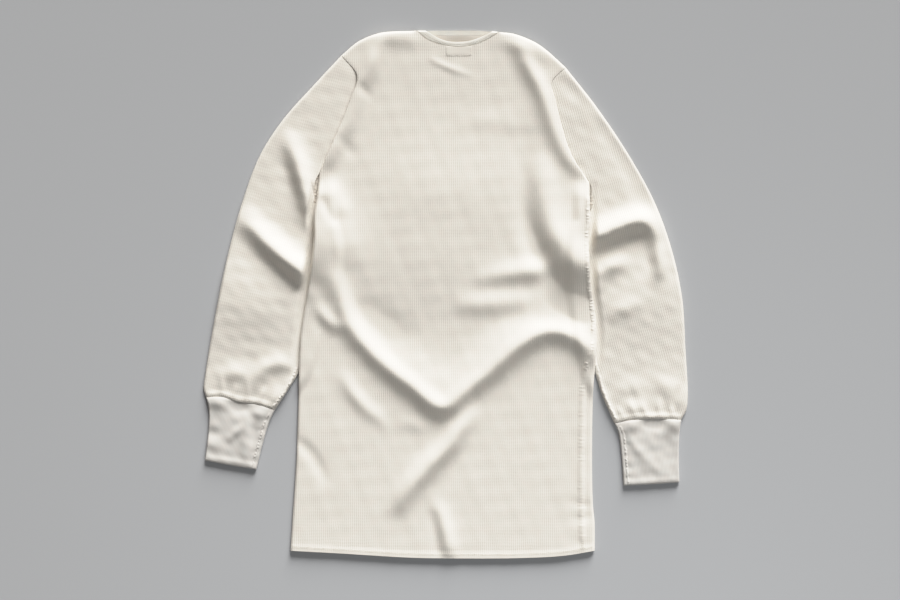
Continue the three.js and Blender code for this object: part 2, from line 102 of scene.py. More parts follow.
SLEEVE_LINES = {
    Hand.LEFT: {
        "outer": [(-157.5, 358.5), (-198, 315), (-246, 261), (-280.5, 207), (-307.5, 135), (-331.5, 45),
            (-349.5, -45), (-361.5, -117), (-364.5, -144), (-361, -155)],
        "inner": [(-191, 180), (-197, 167), (-198.5, 150), (-192, 128), (-180, 100), (-175, 40), (-187, -10),
            (-203, -65), (-222, -118.5), (-243, -153), (-257, -174)],
        "cuffSeam": [(-361, -155), (-337, -154.5), (-310.5, -162), (-284, -165.5), (-257, -174)],
        "cuffOuter": [(-361, -155), (-357, -171), (-357, -202), (-362.5, -250)],
        "cuffInner": [(-257, -174), (-267, -196.5), (-276, -228), (-285, -263.7)],
        "cuffEnd": [(-362.5, -250), (-327, -257), (-285, -263.7)],
    },
    Hand.RIGHT: {
        "outer": [(180, 340.5), (228, 279), (276, 207), (315, 135), (340.5, 63), (355.5, -9), (360, -81),
            (363.5, -150), (361.5, -174), (354, -189)],
        "inner": [(216, 166.5), (223.5, 154), (223.5, 139), (216, 120), (206, 95), (200, 50), (203, 0),
            (212, -65), (225, -121.5), (235, -153), (252.75, -194)],
        "cuffSeam": [(354, -189), (330, -187.5), (283, -188.5), (252.75, -194)],
        "cuffOuter": [(354, -189), (351.5, -205), (350, -240), (351, -283)],
        "cuffInner": [(252.75, -194), (259, -208), (263, -235), (267, -288)],
        "cuffEnd": [(351, -283), (291, -287), (267, -288)],
    },
}


@dataclass(frozen=True)
class Fold:
    """A soft ridge of cloth along a line, or a trough where the height is below nought.

    Attributes:
        width: Spread of its flanks, in mm.
        line: Rows of x, y and height, in mm.
    """

    width: float
    line: Sequence[tuple[float, float, float]]


BODY_FOLDS = {
    "vee": Fold(10.5, [(-168, 30, 3), (-157, -10, 8), (-147, -40, 9), (-131, -66, 9.5), (-91, -107, 10),
        (-48, -141, 10.5), (-6, -172, 11.5), (34, -143, 10), (79, -106, 9.5), (112, -77, 10), (144, -57, 11),
        (174, -57, 11), (204, -74, 9), (226, -100, 4)]),
    "vee swell": Fold(17, [(-70, -98, 3), (-36, -122, 4.5), (0, -148, 5), (38, -120, 6), (80, -82, 8),
        (112, -60, 7), (140, -48, 3)]),
    "vee trough": Fold(15, [(-136, -18, -3), (-98, -42, -4), (-58, -70, -3)]),
    "right shoulder roll": Fold(9, [(104, 380, 3), (124, 340, 6.5), (143, 303, 6.5), (160, 253.5, 6),
        (180, 208, 5.5), (203, 180, 4)]),
    "left shoulder roll": Fold(10, [(-100, 388, 4), (-114, 343.5, 8), (-127, 313.5, 6), (-143, 268.5, 6),
        (-161, 231, 6), (-182, 190, 5)]),
    "right armpit bulge": Fold(20, [(206, 158, 5), (198, 116, 8), (184, 82, 12), (174, 60, 15), (190, 44, 18),
        (220, 46, 20)]),
    "upper back swell": Fold(55, [(-110, 140, 4), (0, 150, 7), (112, 138, 6)]),
    "right flank swell": Fold(14, [(146, 196, 4), (147, 140, 7), (156, 98, 8), (170, 72, 7)]),
    "right flank trough": Fold(12, [(121, 261, -1.5), (119, 150, -3.5), (123, 104, -5), (138, 66, -6),
        (156, 30, -6), (170, 4, -5)]),
    "right waist hollow": Fold(13, [(158, -4, -5), (188, -16, -8), (222, -30, -12)]),
    "upper waist fold": Fold(11, [(45, 22, 1), (81, 29, 4), (116, 33, 6.5), (150, 38, 9)]),
    "lower waist fold": Fold(11, [(13, -14, 1.5), (51, -16, 4), (96, -12, 4), (130, -8, 2)]),
    "left flank bulge": Fold(17, [(-184, 165, 4), (-176, 128, 6), (-174, 98, 5)]),
    "left waist swell": Fold(34, [(-232, 84, 17), (-190, 74, 19), (-148, 64, 11)]),
    "left waist fold": Fold(8, [(-206, 14, 1), (-199, -10, 3), (-187, -32, 4.5), (-171, -45, 4.5),
        (-158, -54, 2)]),
    "left flank fold": Fold(8, [(-174, 171, 2), (-151, 120, 3)]),
    "left hip fold": Fold(8, [(-159, -117, 1), (-141, -148, 3.5), (-117, -174, 3.5), (-91, -197, 1)]),
    "small hip fold": Fold(8, [(-69, -189, 1.5), (-31, -201, 1.5)]),
    "slanting fold": Fold(11, [(44, -170, 3), (24, -196, 9), (3, -228, 11), (-27, -259, 11), (-54, -292, 9),
        (-76, -326, 3)]),
    "hem fold": Fold(9, [(-15, -309, 1), (-3, -346, 5), (4, -391, 5.5)]),
    "hem trough": Fold(6, [(-21, -327, -1.4), (-9, -393, -1.8)]),
    "left hem crease": Fold(6, [(-225, -219, -1.8), (-204, -238, -2.2), (-189, -261, -2.2),
        (-181, -282, -1)]),
    "left neck swell": Fold(9, [(-106, 386, 3), (-69, 385, 3), (-39, 382, 1)]),
    "right neck swell": Fold(9, [(76, 382, 1), (111, 376, 3), (148, 357, 3)]),
}
SLEEVE_FOLDS = {
    Hand.LEFT: {
        "cap fold": Fold(10, [(-236, 236, 4), (-221, 193, 11), (-213, 156, 13), (-205, 118, 11),
            (-198, 92, 6)]),
        "elbow fold": Fold(12, [(-306, 120, 4), (-278, 86, 13), (-244, 55, 17), (-214, 33, 18),
            (-193, 20, 15)]),
        "outer gather": Fold(10, [(-336, -126, 3), (-316, -117, 4.5), (-298, -126, 2.5)]),
        "middle gather": Fold(9, [(-294, -141, 2.5), (-276, -115, 5), (-255, -103, 5), (-234, -108, 2.5)]),
        "inner gather": Fold(8, [(-244, -144, 3), (-261, -157, 3)]),
    },
    Hand.RIGHT: {
        "edge trough": Fold(8, [(231, 253, -1.5), (253, 216, -2), (279, 178, -2.5), (298, 141, -2),
            (309, 103, -1.5)]),
        "elbow fold": Fold(11, [(213, 81, 16), (249, 97, 17), (279, 109, 17), (300, 112, 14), (312, 93, 9),
            (317, 58, 4)]),
        "second fold": Fold(9, [(214, 22, 4), (236, 35, 6), (256, 46, 6.5), (270, 44, 3)]),
        "third fold": Fold(9, [(249, -27, 3), (283, -18, 3)]),
        "inner gather": Fold(9, [(264, -141, 3.5), (294, -145, 2.5)]),
        "outer gather": Fold(10, [(313, -129, 1.5), (343, -147, 3.5), (351, -172, 3)]),
        "seam gather": Fold(8, [(273, -177, 3), (298, -167, 3)]),
        "shoulder crease": Fold(6, [(171, 321, -1.5), (186, 306, -1.5), (201, 295, -1.5)]),
    },
}


def smooth(t: Array) -> Array:
    """Rises from 0 to 1 as t does, level at both ends: t squared times (3 minus 2 t)."""
    t = np.clip(t, 0.0, 1.0)
    return t * t * (3.0 - 2.0 * t)


def arc(t: Array) -> Array:
    """A quarter of a circle, from 0 to 1 as t does: the root of 1 minus the square of (1 minus t)."""
    return np.sqrt(1 - (1 - np.clip(t, 0.0, 1.0)) ** 2)


def slack(height: Array) -> Array:
    """Height where it is above nought and close to nought below it, without a corner."""
    return 0.5 * (height + np.sqrt(height * height + 1.0))


@dataclass(frozen=True)
class Stretch:
    """A stretch of a coordinate, soft at both ends.

    Attributes:
        start: Where it starts.
        stop: Where it ends.
        rise: How far past its start it is whole.
        fall: How far before its end it is still whole.
    """

    start: float
    stop: float
    rise: float = 3.0
    fall: float = 3.0

    def __call__(self, value: Array) -> Array:
        """1 inside and 0 outside: the product of a smooth step up and one down."""
        return smooth((value - self.start) / self.rise) * smooth((self.stop - value) / self.fall)


TUCKED = Stretch(-169, 173, 34, 28)
PATCH_ACROSS = Stretch(-1.2, 39.8)
PATCH_ALONG = Stretch(357, 374)
NECK_INSIDE = Stretch(-44, 80)


def slope(a: Array, b: Array, c: Array, first: Array, second: Array) -> Array:
    """Slope at b of a smooth line through a, b and c, where its two spans take the times first and second."""
    return (b - a) / first - (c - a) / (first + second) + (c - b) / second


class Line:
    """A smooth line through the rows of a table, measured along its length.

    Each span is a cubic whose slopes come from the rows beside it, weighted by the square roots of the spans'
    lengths, so that it never loops.
    """

    SPAN_POINTS = 40

    def __init__(self, rows: Sequence[Sequence[float]]) -> None:
        """Works out the points of a line through rows of two or three numbers."""
        p = np.asarray(rows, float)
        p = np.vstack([2 * p[0] - p[1], p, 2 * p[-1] - p[-2]])
        gap = np.sqrt(np.linalg.norm(np.diff(p, axis=0), axis=1))[:, None]
        before, here, after = gap[:-2], gap[1:-1], gap[2:]
        leave = slope(p[:-3], p[1:-2], p[2:-1], before, here) * here
        reach = slope(p[1:-2], p[2:-1], p[3:], here, after) * here
        t = np.linspace(0, 1, self.SPAN_POINTS, endpoint=False)[None, :, None]
        start, end, leave, reach = (q[:, None] for q in (p[1:-2], p[2:-1], leave, reach))
        spans = (start * (2 * t**3 - 3 * t**2 + 1) + leave * (t**3 - 2 * t**2 + t)
                 + end * (3 * t**2 - 2 * t**3) + reach * (t**3 - t**2))
        self.points = np.vstack([spans.reshape(-1, p.shape[1]), p[-2]])
        steps = np.linalg.norm(np.diff(self.points[:, :2], axis=0), axis=1)
        self.along = np.concatenate([[0.0], np.cumsum(steps)])
        self.length = float(self.along[-1])

    def at(self, t: Array) -> Array:
        """The points at shares t of the length, from 0 to 1."""
        where = np.clip(t, 0.0, 1.0) * self.length
        return np.stack([np.interp(where, self.along, column) for column in self.points.T], axis=-1)

    def forward(self, t: Array) -> Array:
        """Unit vectors of x and y along the line at shares t, from points 0.5 mm ahead and behind."""
        step = 0.5 / self.length
        ahead = self.at(t + step)[:, :2] - self.at(t - step)[:, :2]
        return ahead / np.linalg.norm(ahead, axis=1, keepdims=True)

    def crossing(self, value: Array, axis: int = 1) -> Array:
        """The x where the line has a given y or, with axis 0, the y where it has a given x."""
        order = np.argsort(self.points[:, axis], kind="stable")
        return np.interp(value, self.points[order, axis], self.points[order, 1 - axis])


def leftward(forward: Array) -> Array:
    """Unit vectors a quarter turn to the left of others."""
    return np.stack([-forward[:, 1], forward[:, 0]], axis=1)


class Relief:
    """The height that folds add at a point: bell-shaped samples along each fold's line, summed."""

    STEP = 0.45

    def __init__(self, folds: dict[str, Fold]) -> None:
        """Samples each fold's line, a share of its width apart."""
        self.samples = []
        for fold in folds.values():
            line = Line(fold.line)
            count = max(2, math.ceil(line.length / (fold.width * self.STEP)))
            rows = line.at((np.arange(count) + 0.5) / count)
            weight = rows[:, 2] * line.length / count / (fold.width * math.sqrt(2 * math.pi))
            self.samples.append((rows[:, :2], weight, 2 * fold.width**2))

    def __call__(self, x: Array, y: Array) -> Array:
        """The summed height at x, y, in mm."""
        total = np.zeros(np.broadcast(x, y).shape)
        for centres, weights, spread in self.samples:
            for (cx, cy), weight in zip(centres, weights):
                total += weight * np.exp(-((x - cx) ** 2 + (y - cy) ** 2) / spread)
        return total


class Ripple:
    """The gentle unevenness of slack cloth: sine waves in several directions, summed."""

    WAVES = 12

    def __init__(self, seed: int, height: float, shortest: float, longest: float) -> None:
        """Draws the waves' directions and starts.

        Args:
            seed: Start of the random numbers.
            height: How high each wave is, in mm.
            shortest: Shortest wave, in mm.
            longest: Longest wave, in mm.
        """
        dice = np.random.default_rng(seed)
        turn = dice.uniform(0, math.pi, self.WAVES)
        number = 2 * math.pi / np.geomspace(shortest, longest, self.WAVES)
        start = dice.uniform(0, 2 * math.pi, self.WAVES)
        self.waves = list(zip(number * np.cos(turn), number * np.sin(turn), start))
        self.height = height

    def __call__(self, x: Array, y: Array) -> Array:
        """The summed height at x, y, in mm."""
        return self.height * sum(np.sin(a * x + b * y + start) for a, b, start in self.waves)


def bow(line: Callable[[Array], Array], u: Array) -> Array:
    """How far a line is from the straight one between its ends."""
    ends = line(np.array([0.0, 1.0]))
    return line(u) - ends[0] * (1 - u)[..., None] - ends[1] * u[..., None]


@dataclass(frozen=True)
class FourSided:
    """A surface between four lines, each a function of its share of the length.

    Straight rows join left to right, and the bow of the bottom and top lines fades from row to row.

    Attributes:
        bottom: Line along u where v is 0.
        top: Line along u where v is 1.
        left: Line along v where u is 0.
        right: Line along v where u is 1.
        power: A higher one fades the bow sooner.
    """

    bottom: Callable[[Array], Array]
    top: Callable[[Array], Array]
    left: Callable[[Array], Array]
    right: Callable[[Array], Array]
    power: float = 1.0

    def __call__(self, u: Array, v: Array) -> Array:
        """x and y at u, v."""
        u, v = np.broadcast_arrays(u, v)
        low, high = ((1 - v) ** self.power)[..., None], (v**self.power)[..., None]
        straight = self.left(v) * (1 - u)[..., None] + self.right(v) * u[..., None]
        return straight + bow(self.bottom, u) * low + bow(self.top, u) * high


@dataclass
class Grid:
    """Points of one skin of a shell, row by row.

    Attributes:
        points: Rows by columns by 3, in mm.
        cloth: Rows by columns by 2, the place on the flat cloth, in mm.
        plain_and_shade: Rows by columns, the knit's plainness from 0 for waffle to 1, and above 1 painted
            shade.
    """

    points: Array
    cloth: Array
    plain_and_shade: Array

    def parts(self) -> tuple[Array, Array, Array]:
        """The three arrays."""
        return self.points, self.cloth, self.plain_and_shade


def joined(first: Grid, second: Grid) -> Grid:
    """Two grids side by side as one."""
    return Grid(*(np.concatenate(pair, axis=1) for pair in zip(first.parts(), second.parts())))


def turned(grid: Grid, cut: int = 0) -> Grid:
    """A grid with its columns in reverse, without the first and last few."""
    keep = slice(cut, grid.plain_and_shade.shape[1] - cut)
    return Grid(*(part[:, ::-1][:, keep] for part in grid.parts()))


@dataclass
class Tube:
    """A flattened tube of cloth: a top side and an underside that meet in a plane just over the lower wall.

    Attributes:
        plan: Gives x and y from u across, v along and the side.
        top: Height of the upper skin.
        bottom: Height of the lower skin.
        edge: How far from its edge the tube rounds over, in mm.
        lift: Keeps the sides apart at the edge where they are separate panels.
        cap: A factor on heights, for ends that round over.
        sink: How far the tube sinks towards its middle plane at its edges, from 0 to 1.
        plain_and_shade: The knit's plainness from x and y, and above one painted shade.
        grain: How far the knit's ribs are turned from the garment's Y axis, in degrees.
    """

    plan: Plan
    top: Height
    bottom: Height
    edge: float
    lift: float = 0.0
    cap: Callable[[Array, Array], Array] = lambda u, v: np.ones_like(u)
    sink: Callable[[Array], Array] = np.ones_like
    plain_and_shade: Height = lambda x, y: np.zeros_like(x)
    grain: float = 0.0

    def surface(self, u: Array, v: Array, side: int, inset: float) -> Array:
        """Points of one skin of one side.

        Over an edge the skin is a quarter of an ellipse: its height over the middle plane is an arc of the
        distance from the edge over the rounding. Sink says how much of that height it loses at the edge.

        Args:
            u: Places across, from 0 to 1.
            v: Places along, of the same shape.
            side: 1 on top, -1 beneath.
            inset: 0 for the outer skin, and the wall for the inner one.

        Returns:
            Points of x, y and z along the last axis, in mm.
        """
        place = self.plan(u, v, side)
        x, y = place[..., 0], place[..., 1]
        distance = np.minimum(u, 1 - u) * self.width(v, side)
        rise = 1 - self.sink(v) * (1 - arc((distance - inset) / (self.edge - inset)))
        low = self.bottom(x, y)
        middle = low + PRESSED / 2
        full = self.top(x, y) - middle if side > 0 else middle - low
        half = np.maximum(full - inset, SEAM / 2)
        height = self.lift + (half - self.lift) * rise * self.cap(u, v)
        return np.stack([x, y, middle + side * height], axis=-1)

    def width(self, v: Array, side: int) -> Array:
        """How wide the tube is at v, in mm."""
        zero = np.zeros_like(v)
        return np.linalg.norm(self.plan(zero + 1, v, side) - self.plan(zero, v, side), axis=-1)

    def skin(self, columns: int, v: Array, side: int, inset: float, rounds: int = 6) -> Grid:
        """One skin of one side, as a grid.

        Args:
            columns: Even steps between the rounded edges.
            v: Places along the tube.
            side: 1 on top, -1 beneath.
            inset: 0 for the outer skin, and the wall for the inner one.
            rounds: Steps over each rounded edge, even in the angle.

        Returns:
            The skin's points.
        """
        angle = np.linspace(0, math.pi / 2, rounds, endpoint=False)
        reach = inset + (self.edge - inset) * (1 - np.cos(angle))
        v = v[:, None]
        width = self.width(v, side)
        rim = self.edge / width
        share = np.linspace(0, 1, columns + 1)[None]
        u = np.hstack([reach[None] / width, rim + (1 - 2 * rim) * share, 1 - reach[None, ::-1] / width])
        v = np.broadcast_to(v, u.shape)
        points = self.surface(u, v, side, inset)
        return Grid(points, self.cloth(points), self.plain_and_shade(points[..., 0], points[..., 1]))

    def cloth(self, points: Array) -> Array:
        """The place on the flat cloth: the garment's axes, turned with the grain."""
        cosine, sine = math.cos(math.radians(self.grain)), math.sin(math.radians(self.grain))
        return points[..., :2] @ np.array([[cosine, -sine], [sine, cosine]])

    def whole(self, name: str, v: Array, top: int, beneath: int) -> bpy.types.Object:
        """The whole tube as a closed shell, open at both ends.

        Args:
            name: The object's name.
            v: Places along the tube.
            top: Columns on top.
            beneath: Columns on the underside.

        Returns:
            The new object.
        """
        skins = [joined(self.skin(top, v, 1, inset), turned(self.skin(beneath, v, -1, inset), 1))
                 for inset in (0.0, WALL)]
        return shell(name, *skins, closed=True)

    def panel(self, name: str, v: Array, columns: int, side: int) -> bpy.types.Object:
        """One side of the tube as a closed shell.

        Args:
            name: The object's name.
            v: Places along the tube.
            columns: Even steps between the rounded edges.
            side: 1 on top, -1 beneath.

        Returns:
            The new object.
        """
        skins = [self.skin(columns, v, side, inset) for inset in (0.0, WALL)]
        return shell(name, *(skins if side > 0 else map(turned, skins)), closed=False)


def quads(*corners: Array) -> Array:
    """Faces from the arrays of their four corners' numbers."""
    return np.stack(corners, axis=-1).reshape(-1, 4)


def shell(name: str, outer: Grid, inner: Grid, closed: bool) -> bpy.types.Object:
    """A closed shell between two skins, with walls along the edges.

    Args:
        name: The object's name.
        outer: Skin on the outside.
        inner: Skin on the inside, with as many points.
        closed: Whether the last column joins the first.

    Returns:
        The new object.
    """
    count = outer.plain_and_shade.size
    near = np.arange(count).reshape(outer.plain_and_shade.shape)
    if closed:
        near = np.hstack([near, near[:, :1]])
    far = near + count
    faces = [
        quads(near[:-1, :-1], near[:-1, 1:], near[1:, 1:], near[1:, :-1]),
        quads(far[:-1, :-1], far[1:, :-1], far[1:, 1:], far[:-1, 1:]),
        quads(near[0, 1:], near[0, :-1], far[0, :-1], far[0, 1:]),
        quads(near[-1, :-1], near[-1, 1:], far[-1, 1:], far[-1, :-1]),
    ]
    if not closed:
        faces.append(quads(near[:-1, 0], near[1:, 0], far[1:, 0], far[:-1, 0]))
        faces.append(quads(near[1:, -1], near[:-1, -1], far[:-1, -1], far[1:, -1]))
    points, cloth, plain_and_shade = (np.concatenate([a.reshape(count, -1), b.reshape(count, -1)])
                            for a, b in zip(outer.parts(), inner.parts()))
    return mesh_object(name, points, np.vstack(faces), cloth, plain_and_shade.ravel())


def mesh_object(name: str, points: Array, faces: Array, cloth: Array | None = None,
                plain_and_shade: Array | None = None) -> bpy.types.Object:
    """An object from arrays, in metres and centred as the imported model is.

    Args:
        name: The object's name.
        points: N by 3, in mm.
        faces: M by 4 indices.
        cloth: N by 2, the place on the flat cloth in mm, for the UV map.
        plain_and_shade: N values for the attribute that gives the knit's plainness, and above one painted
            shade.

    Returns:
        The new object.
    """
    placed = (points + np.array([*CENTRE, 0.0])) * MM
    mesh = bpy.data.meshes.new(name)
    mesh.vertices.add(len(placed))
    mesh.vertices.foreach_set("co", placed.astype(np.float32).ravel())
    mesh.loops.add(faces.size)
    mesh.loops.foreach_set("vertex_index", faces.astype(np.int32).ravel())
    mesh.polygons.add(len(faces))
    mesh.polygons.foreach_set("loop_start", np.arange(0, faces.size, faces.shape[1], dtype=np.int32))
    mesh.polygons.foreach_set("use_smooth", np.ones(len(faces), bool))
    mesh.update(calc_edges=True)
    if cloth is not None:
        layer = mesh.uv_layers.new(name="cloth")
        layer.data.foreach_set("uv", (cloth[faces.ravel()] * MM).astype(np.float32).ravel())
    if plain_and_shade is not None:
        layer = mesh.attributes.new("plain_and_shade", "FLOAT", "POINT")
        layer.data.foreach_set("value", plain_and_shade.astype(np.float32))
    mesh.set_sharp_from_angle(angle=math.radians(62))
    made = bpy.data.objects.new(name, mesh)
    bpy.context.scene.collection.objects.link(made)
    return made


BODY_CREASES = {
    "middle back swell": Fold(46, [(-96, 46, 3), (0, 36, 5.5), (70, 46, 4)]),
    "neck crease": Fold(3.5, [(-25, 354, 0.3), (-1, 342, 1.4), (38, 328, 0.4)]),
    "faint shoulder ridge": Fold(9, [(6, 264, 0.3), (80, 259, 1.0), (141, 253, 0.3)]),
    "left armhole dimple": Fold(5, [(-130, 314, -1.0), (-121, 305, -1.6), (-113, 293, -0.8)]),
    "left blade dimple": Fold(6, [(-160, 236, -0.8), (-151, 224, -1.6), (-141, 208, -0.8)]),
    "left flank line": Fold(5, [(-187, 146, -1.8), (-178, 126, -2.2), (-167, 106, -1.2)]),
    "left waist dimple": Fold(13, [(-176, 66, -1.2), (-160, 44, -2.0), (-143, 18, -1.0)]),
    "left edge swell": Fold(20, [(-214, 42, 3.2), (-198, 36, 4.4), (-174, 28, 2.6)]),
    "left hip patch": Fold(7, [(-201, -6, -1.6), (-193, -30, -2.2), (-182, -56, -1.6)]),
    "upper side pucker": Fold(5, [(188, -312, -0.4), (204, -317, -1.0), (219, -318, -0.9)]),
    "lower side pucker": Fold(5.4, [(190, -338, -0.4), (206, -337, -1.1), (220, -332, -0.9)]),
    "hem corner pucker": Fold(5, [(192, -370, -0.5), (206, -375, -0.9), (216, -377, -0.6)]),
    "side seam": Fold(3.0, [(212, 146, 1.2), (212.5, 111, 1.6), (210.5, 81, 1.0), (213, 21, 1.0),
        (220.5, -39, 1.1), (219, -76, 1.1), (207, -124, 1.2), (204, -200, 1.3), (203.5, -309, 1.3),
        (205, -382, 1.2)]),
}
CUFF_FOLDS = {
    Hand.LEFT: {
        "outer puff": Fold(7, [(-354, -163, 2.7), (-344, -163, 5.1), (-332, -166, 2.0)]),
        "seam hollow": Fold(6, [(-326, -166, -1.7), (-312, -171, -3.4), (-298, -173, -2.0)]),
        "inner puff": Fold(6, [(-290, -176, 1.7), (-279, -180, 3.1), (-270, -184, 1.7)]),
        "edge hollow": Fold(5, [(-358, -206, -2.7), (-344, -213, -2.0)]),
        "edge swell": Fold(6, [(-357, -224, 2.5), (-340, -229, 1.7)]),
        "slanting crease": Fold(4.5, [(-306, -196, 1.4), (-314, -206, 3.2), (-326, -220, 1.4)]),
        "long swell": Fold(7, [(-303, -178, 1.4), (-299, -210, 3.1), (-303, -246, 1.7)]),
        "inner hollow": Fold(5, [(-288, -196, -1.7), (-290, -226, -2.0)]),
        "end roll": Fold(3, [(-358, -246, 1.0), (-325, -251, 1.1), (-290, -257, 1.0)]),
    },
    Hand.RIGHT: {
        "outer puff": Fold(7, [(350, -193, 2.7), (340, -195, 4.4), (330, -200, 1.7)]),
        "seam hollow": Fold(5.5, [(330, -194, -2.5), (313, -196, -4.2), (296, -196, -2.5)]),
        "inner puff": Fold(7, [(290, -196, 2.0), (279, -197, 4.8), (269, -202, 2.7)]),
        "slanting crease": Fold(4.5, [(272, -208, 0.8), (285, -228, 1.5), (304, -254, 0.6)]),
        "lower crease": Fold(6, [(284, -236, 0.6), (308, -256, 1.4), (334, -274, 0.8)]),
        "outer hollow": Fold(8, [(336, -216, -1.7), (332, -246, -2.0)]),
        "end roll": Fold(3, [(272, -283, 1.1), (300, -282, 1.1), (348, -278, 1.0)]),
    },
}
SLEEVE_CREASES = {
    Hand.LEFT: {
        "wrist ridge": Fold(3.0, [(-358, -150, 1.2), (-337, -150, 1.6), (-310.5, -157.5, 1.0),
            (-284, -161, 1.4), (-260, -169, 1.2)]),
        "cap valley": Fold(7, [(-248, 207, -1.2), (-226, 150, -2.4), (-203, 88, -2.4)]),
        "elbow valley": Fold(9, [(-305, 90, -1.2), (-264, 50, -2.6), (-217, 2, -3.0)]),
        "forearm swell": Fold(46, [(-336, 4, 9), (-244, -20, 11)]),
        "wrist pucker one": Fold(3.4, [(-338, -150, 0.8), (-336, -138, 1.6), (-338, -122, 0.4)]),
        "wrist pucker two": Fold(3, [(-321, -155, 0.7), (-318, -146, 1.3), (-315, -136, 0.3)]),
        "wrist pucker three": Fold(3.8, [(-301, -160, 0.9), (-297, -146, 1.8), (-299, -127, 0.4)]),
        "wrist pucker four": Fold(3, [(-281, -163, 0.8), (-277, -152, 1.5), (-271, -140, 0.4)]),
        "wrist pucker five": Fold(3.3, [(-264, -168, 0.9), (-258, -158, 1.5), (-252, -149, 0.3)]),
        "underarm seam": Fold(2.4, [(-207, -58, 0.8), (-227, -118, 1.2), (-247, -153, 1.2),
            (-261, -172, 1.0)]),
    },
    Hand.RIGHT: {
        "wrist ridge": Fold(3.0, [(352, -184.5, 1.2), (330, -183, 1.6), (305, -183.5, 1.8), (283, -184, 1.4),
            (256, -189, 1.2)]),
        "elbow return": Fold(8, [(317, 66, 5), (320, 40, 7), (318, 18, 2)]),
        "inner wrinkle": Fold(6, [(214, -4, 3), (224, 6, 4), (232, 20, 2)]),
        "elbow valley": Fold(8, [(214, 58, -1.2), (262, 74, -2.4), (296, 88, -2.4), (304, 62, -2.8),
            (307, 38, -2.0)]),
        "forearm swell": Fold(44, [(340, 6, 7), (250, -16, 8)]),
        "wrist valley": Fold(5, [(283, -158, -1.4), (278, -146, -1.6), (270, -134, -0.5)]),
        "outer wrist line": Fold(3.4, [(350, -138, -0.8), (346, -152, -1.8), (339, -172, -1.2)]),
        "wrist pucker one": Fold(3.2, [(342, -185, 0.9), (338, -174, 1.5), (336, -160, 0.4)]),
        "wrist pucker two": Fold(3.4, [(322, -184, 0.8), (319, -170, 1.6), (321, -154, 0.3)]),
        "wrist pucker three": Fold(3, [(303, -185, 0.8), (298, -175, 1.4), (295, -163, 0.4)]),
        "wrist pucker four": Fold(3.6, [(284, -184, 0.9), (280, -172, 1.6), (274, -160, 0.4)]),
        "wrist pucker five": Fold(3, [(266, -186, 0.8), (262, -178, 1.3), (257, -169, 0.4)]),
        "underarm seam": Fold(2.4, [(217, -60, 0.8), (229, -121, 1.2), (239, -153, 1.2), (256, -190, 1.1)]),
    },
}
ARMPITS = {
    Hand.LEFT: [(-194, 180), (-196.5, 166), (-197, 150), (-196, 132)],
    Hand.RIGHT: [(217, 166), (220, 153), (220, 139), (217, 124)],
}
PATCH_ROW = [(1.5, 370.5), (1.2, 360), (1.8, 358.8), (19, 358.2), (36.6, 359), (37.4, 360), (37.2, 371)]


def places(fold: Fold) -> list[tuple[float, float]]:
    """The x and y of a fold's rows."""
    return [(x, y) for x, y, _ in fold.line]


def linear(colour: tuple[int, int, int], share: float = 1.0) -> tuple[float, float, float, float]:
    """A colour in screen values from 0 to 255 as a shader takes it, or a share of its light."""
    channel = np.array(colour) / 255
    light = np.where(channel <= 0.04045, channel / 12.92, ((channel + 0.055) / 1.055) ** 2.4)
    return (*(light * share).tolist(), 1.0)


@dataclass(frozen=True)
class KnitFinish:
    """How one kind of knit looks.

    Attributes:
        slot: The material slot; not used.
        colour: Its colour in screen values.
        warm: A warmer colour that it drifts to.
        cool: A cooler one.
        rib: Distance between ribs, in mm.
        row: Distance between rows of cells, in mm.
        shade: How much painted shade darkens the cells between ribs.
        depth: How deep the cells are, in mm.
        ribbed: How much the ribs outweigh the rows, from 0 to 1.
        wander: How far ribs and rows stray, as a share of their distance.
        fluff: How high loose fibres stand, as a share of the depth.
        roughness: How matte the yarn is.
        sheen: How much its fibres catch light from the side.
    """

    slot: str
    colour: tuple[int, int, int]
    warm: tuple[int, int, int]
    cool: tuple[int, int, int]
    rib: float
    row: float
    shade: float
    depth: float
    ribbed: float
    wander: float = 0.9
    fluff: float = 0.3
    roughness: float = 0.93
    sheen: float = 0.22


class Knit(Enum):
    """The kinds of knit on the garment."""

    WAFFLE = KnitFinish("waffle_knit", (230, 225, 216), (233, 225, 216), (227, 224, 215),
                        3.1, 4.6, 0.11, 0.22, 0.62)
    RIB = KnitFinish("rib_knit", (208, 205, 200), (211, 205, 199), (206, 206, 202),
                     2.0, 3.4, 0.04, 0.12, 0.85)
    BINDING = KnitFinish("neck_binding", (228, 225, 216), (231, 224, 214), (222, 222, 216),
                         1.3, 1.6, 0.06, 0.2, 0.6)
    THREAD = KnitFinish("waffle_knit", (222, 218, 210), (224, 217, 208), (218, 217, 211),
                        0.5, 0.8, 0.05, 0.05, 0.5)


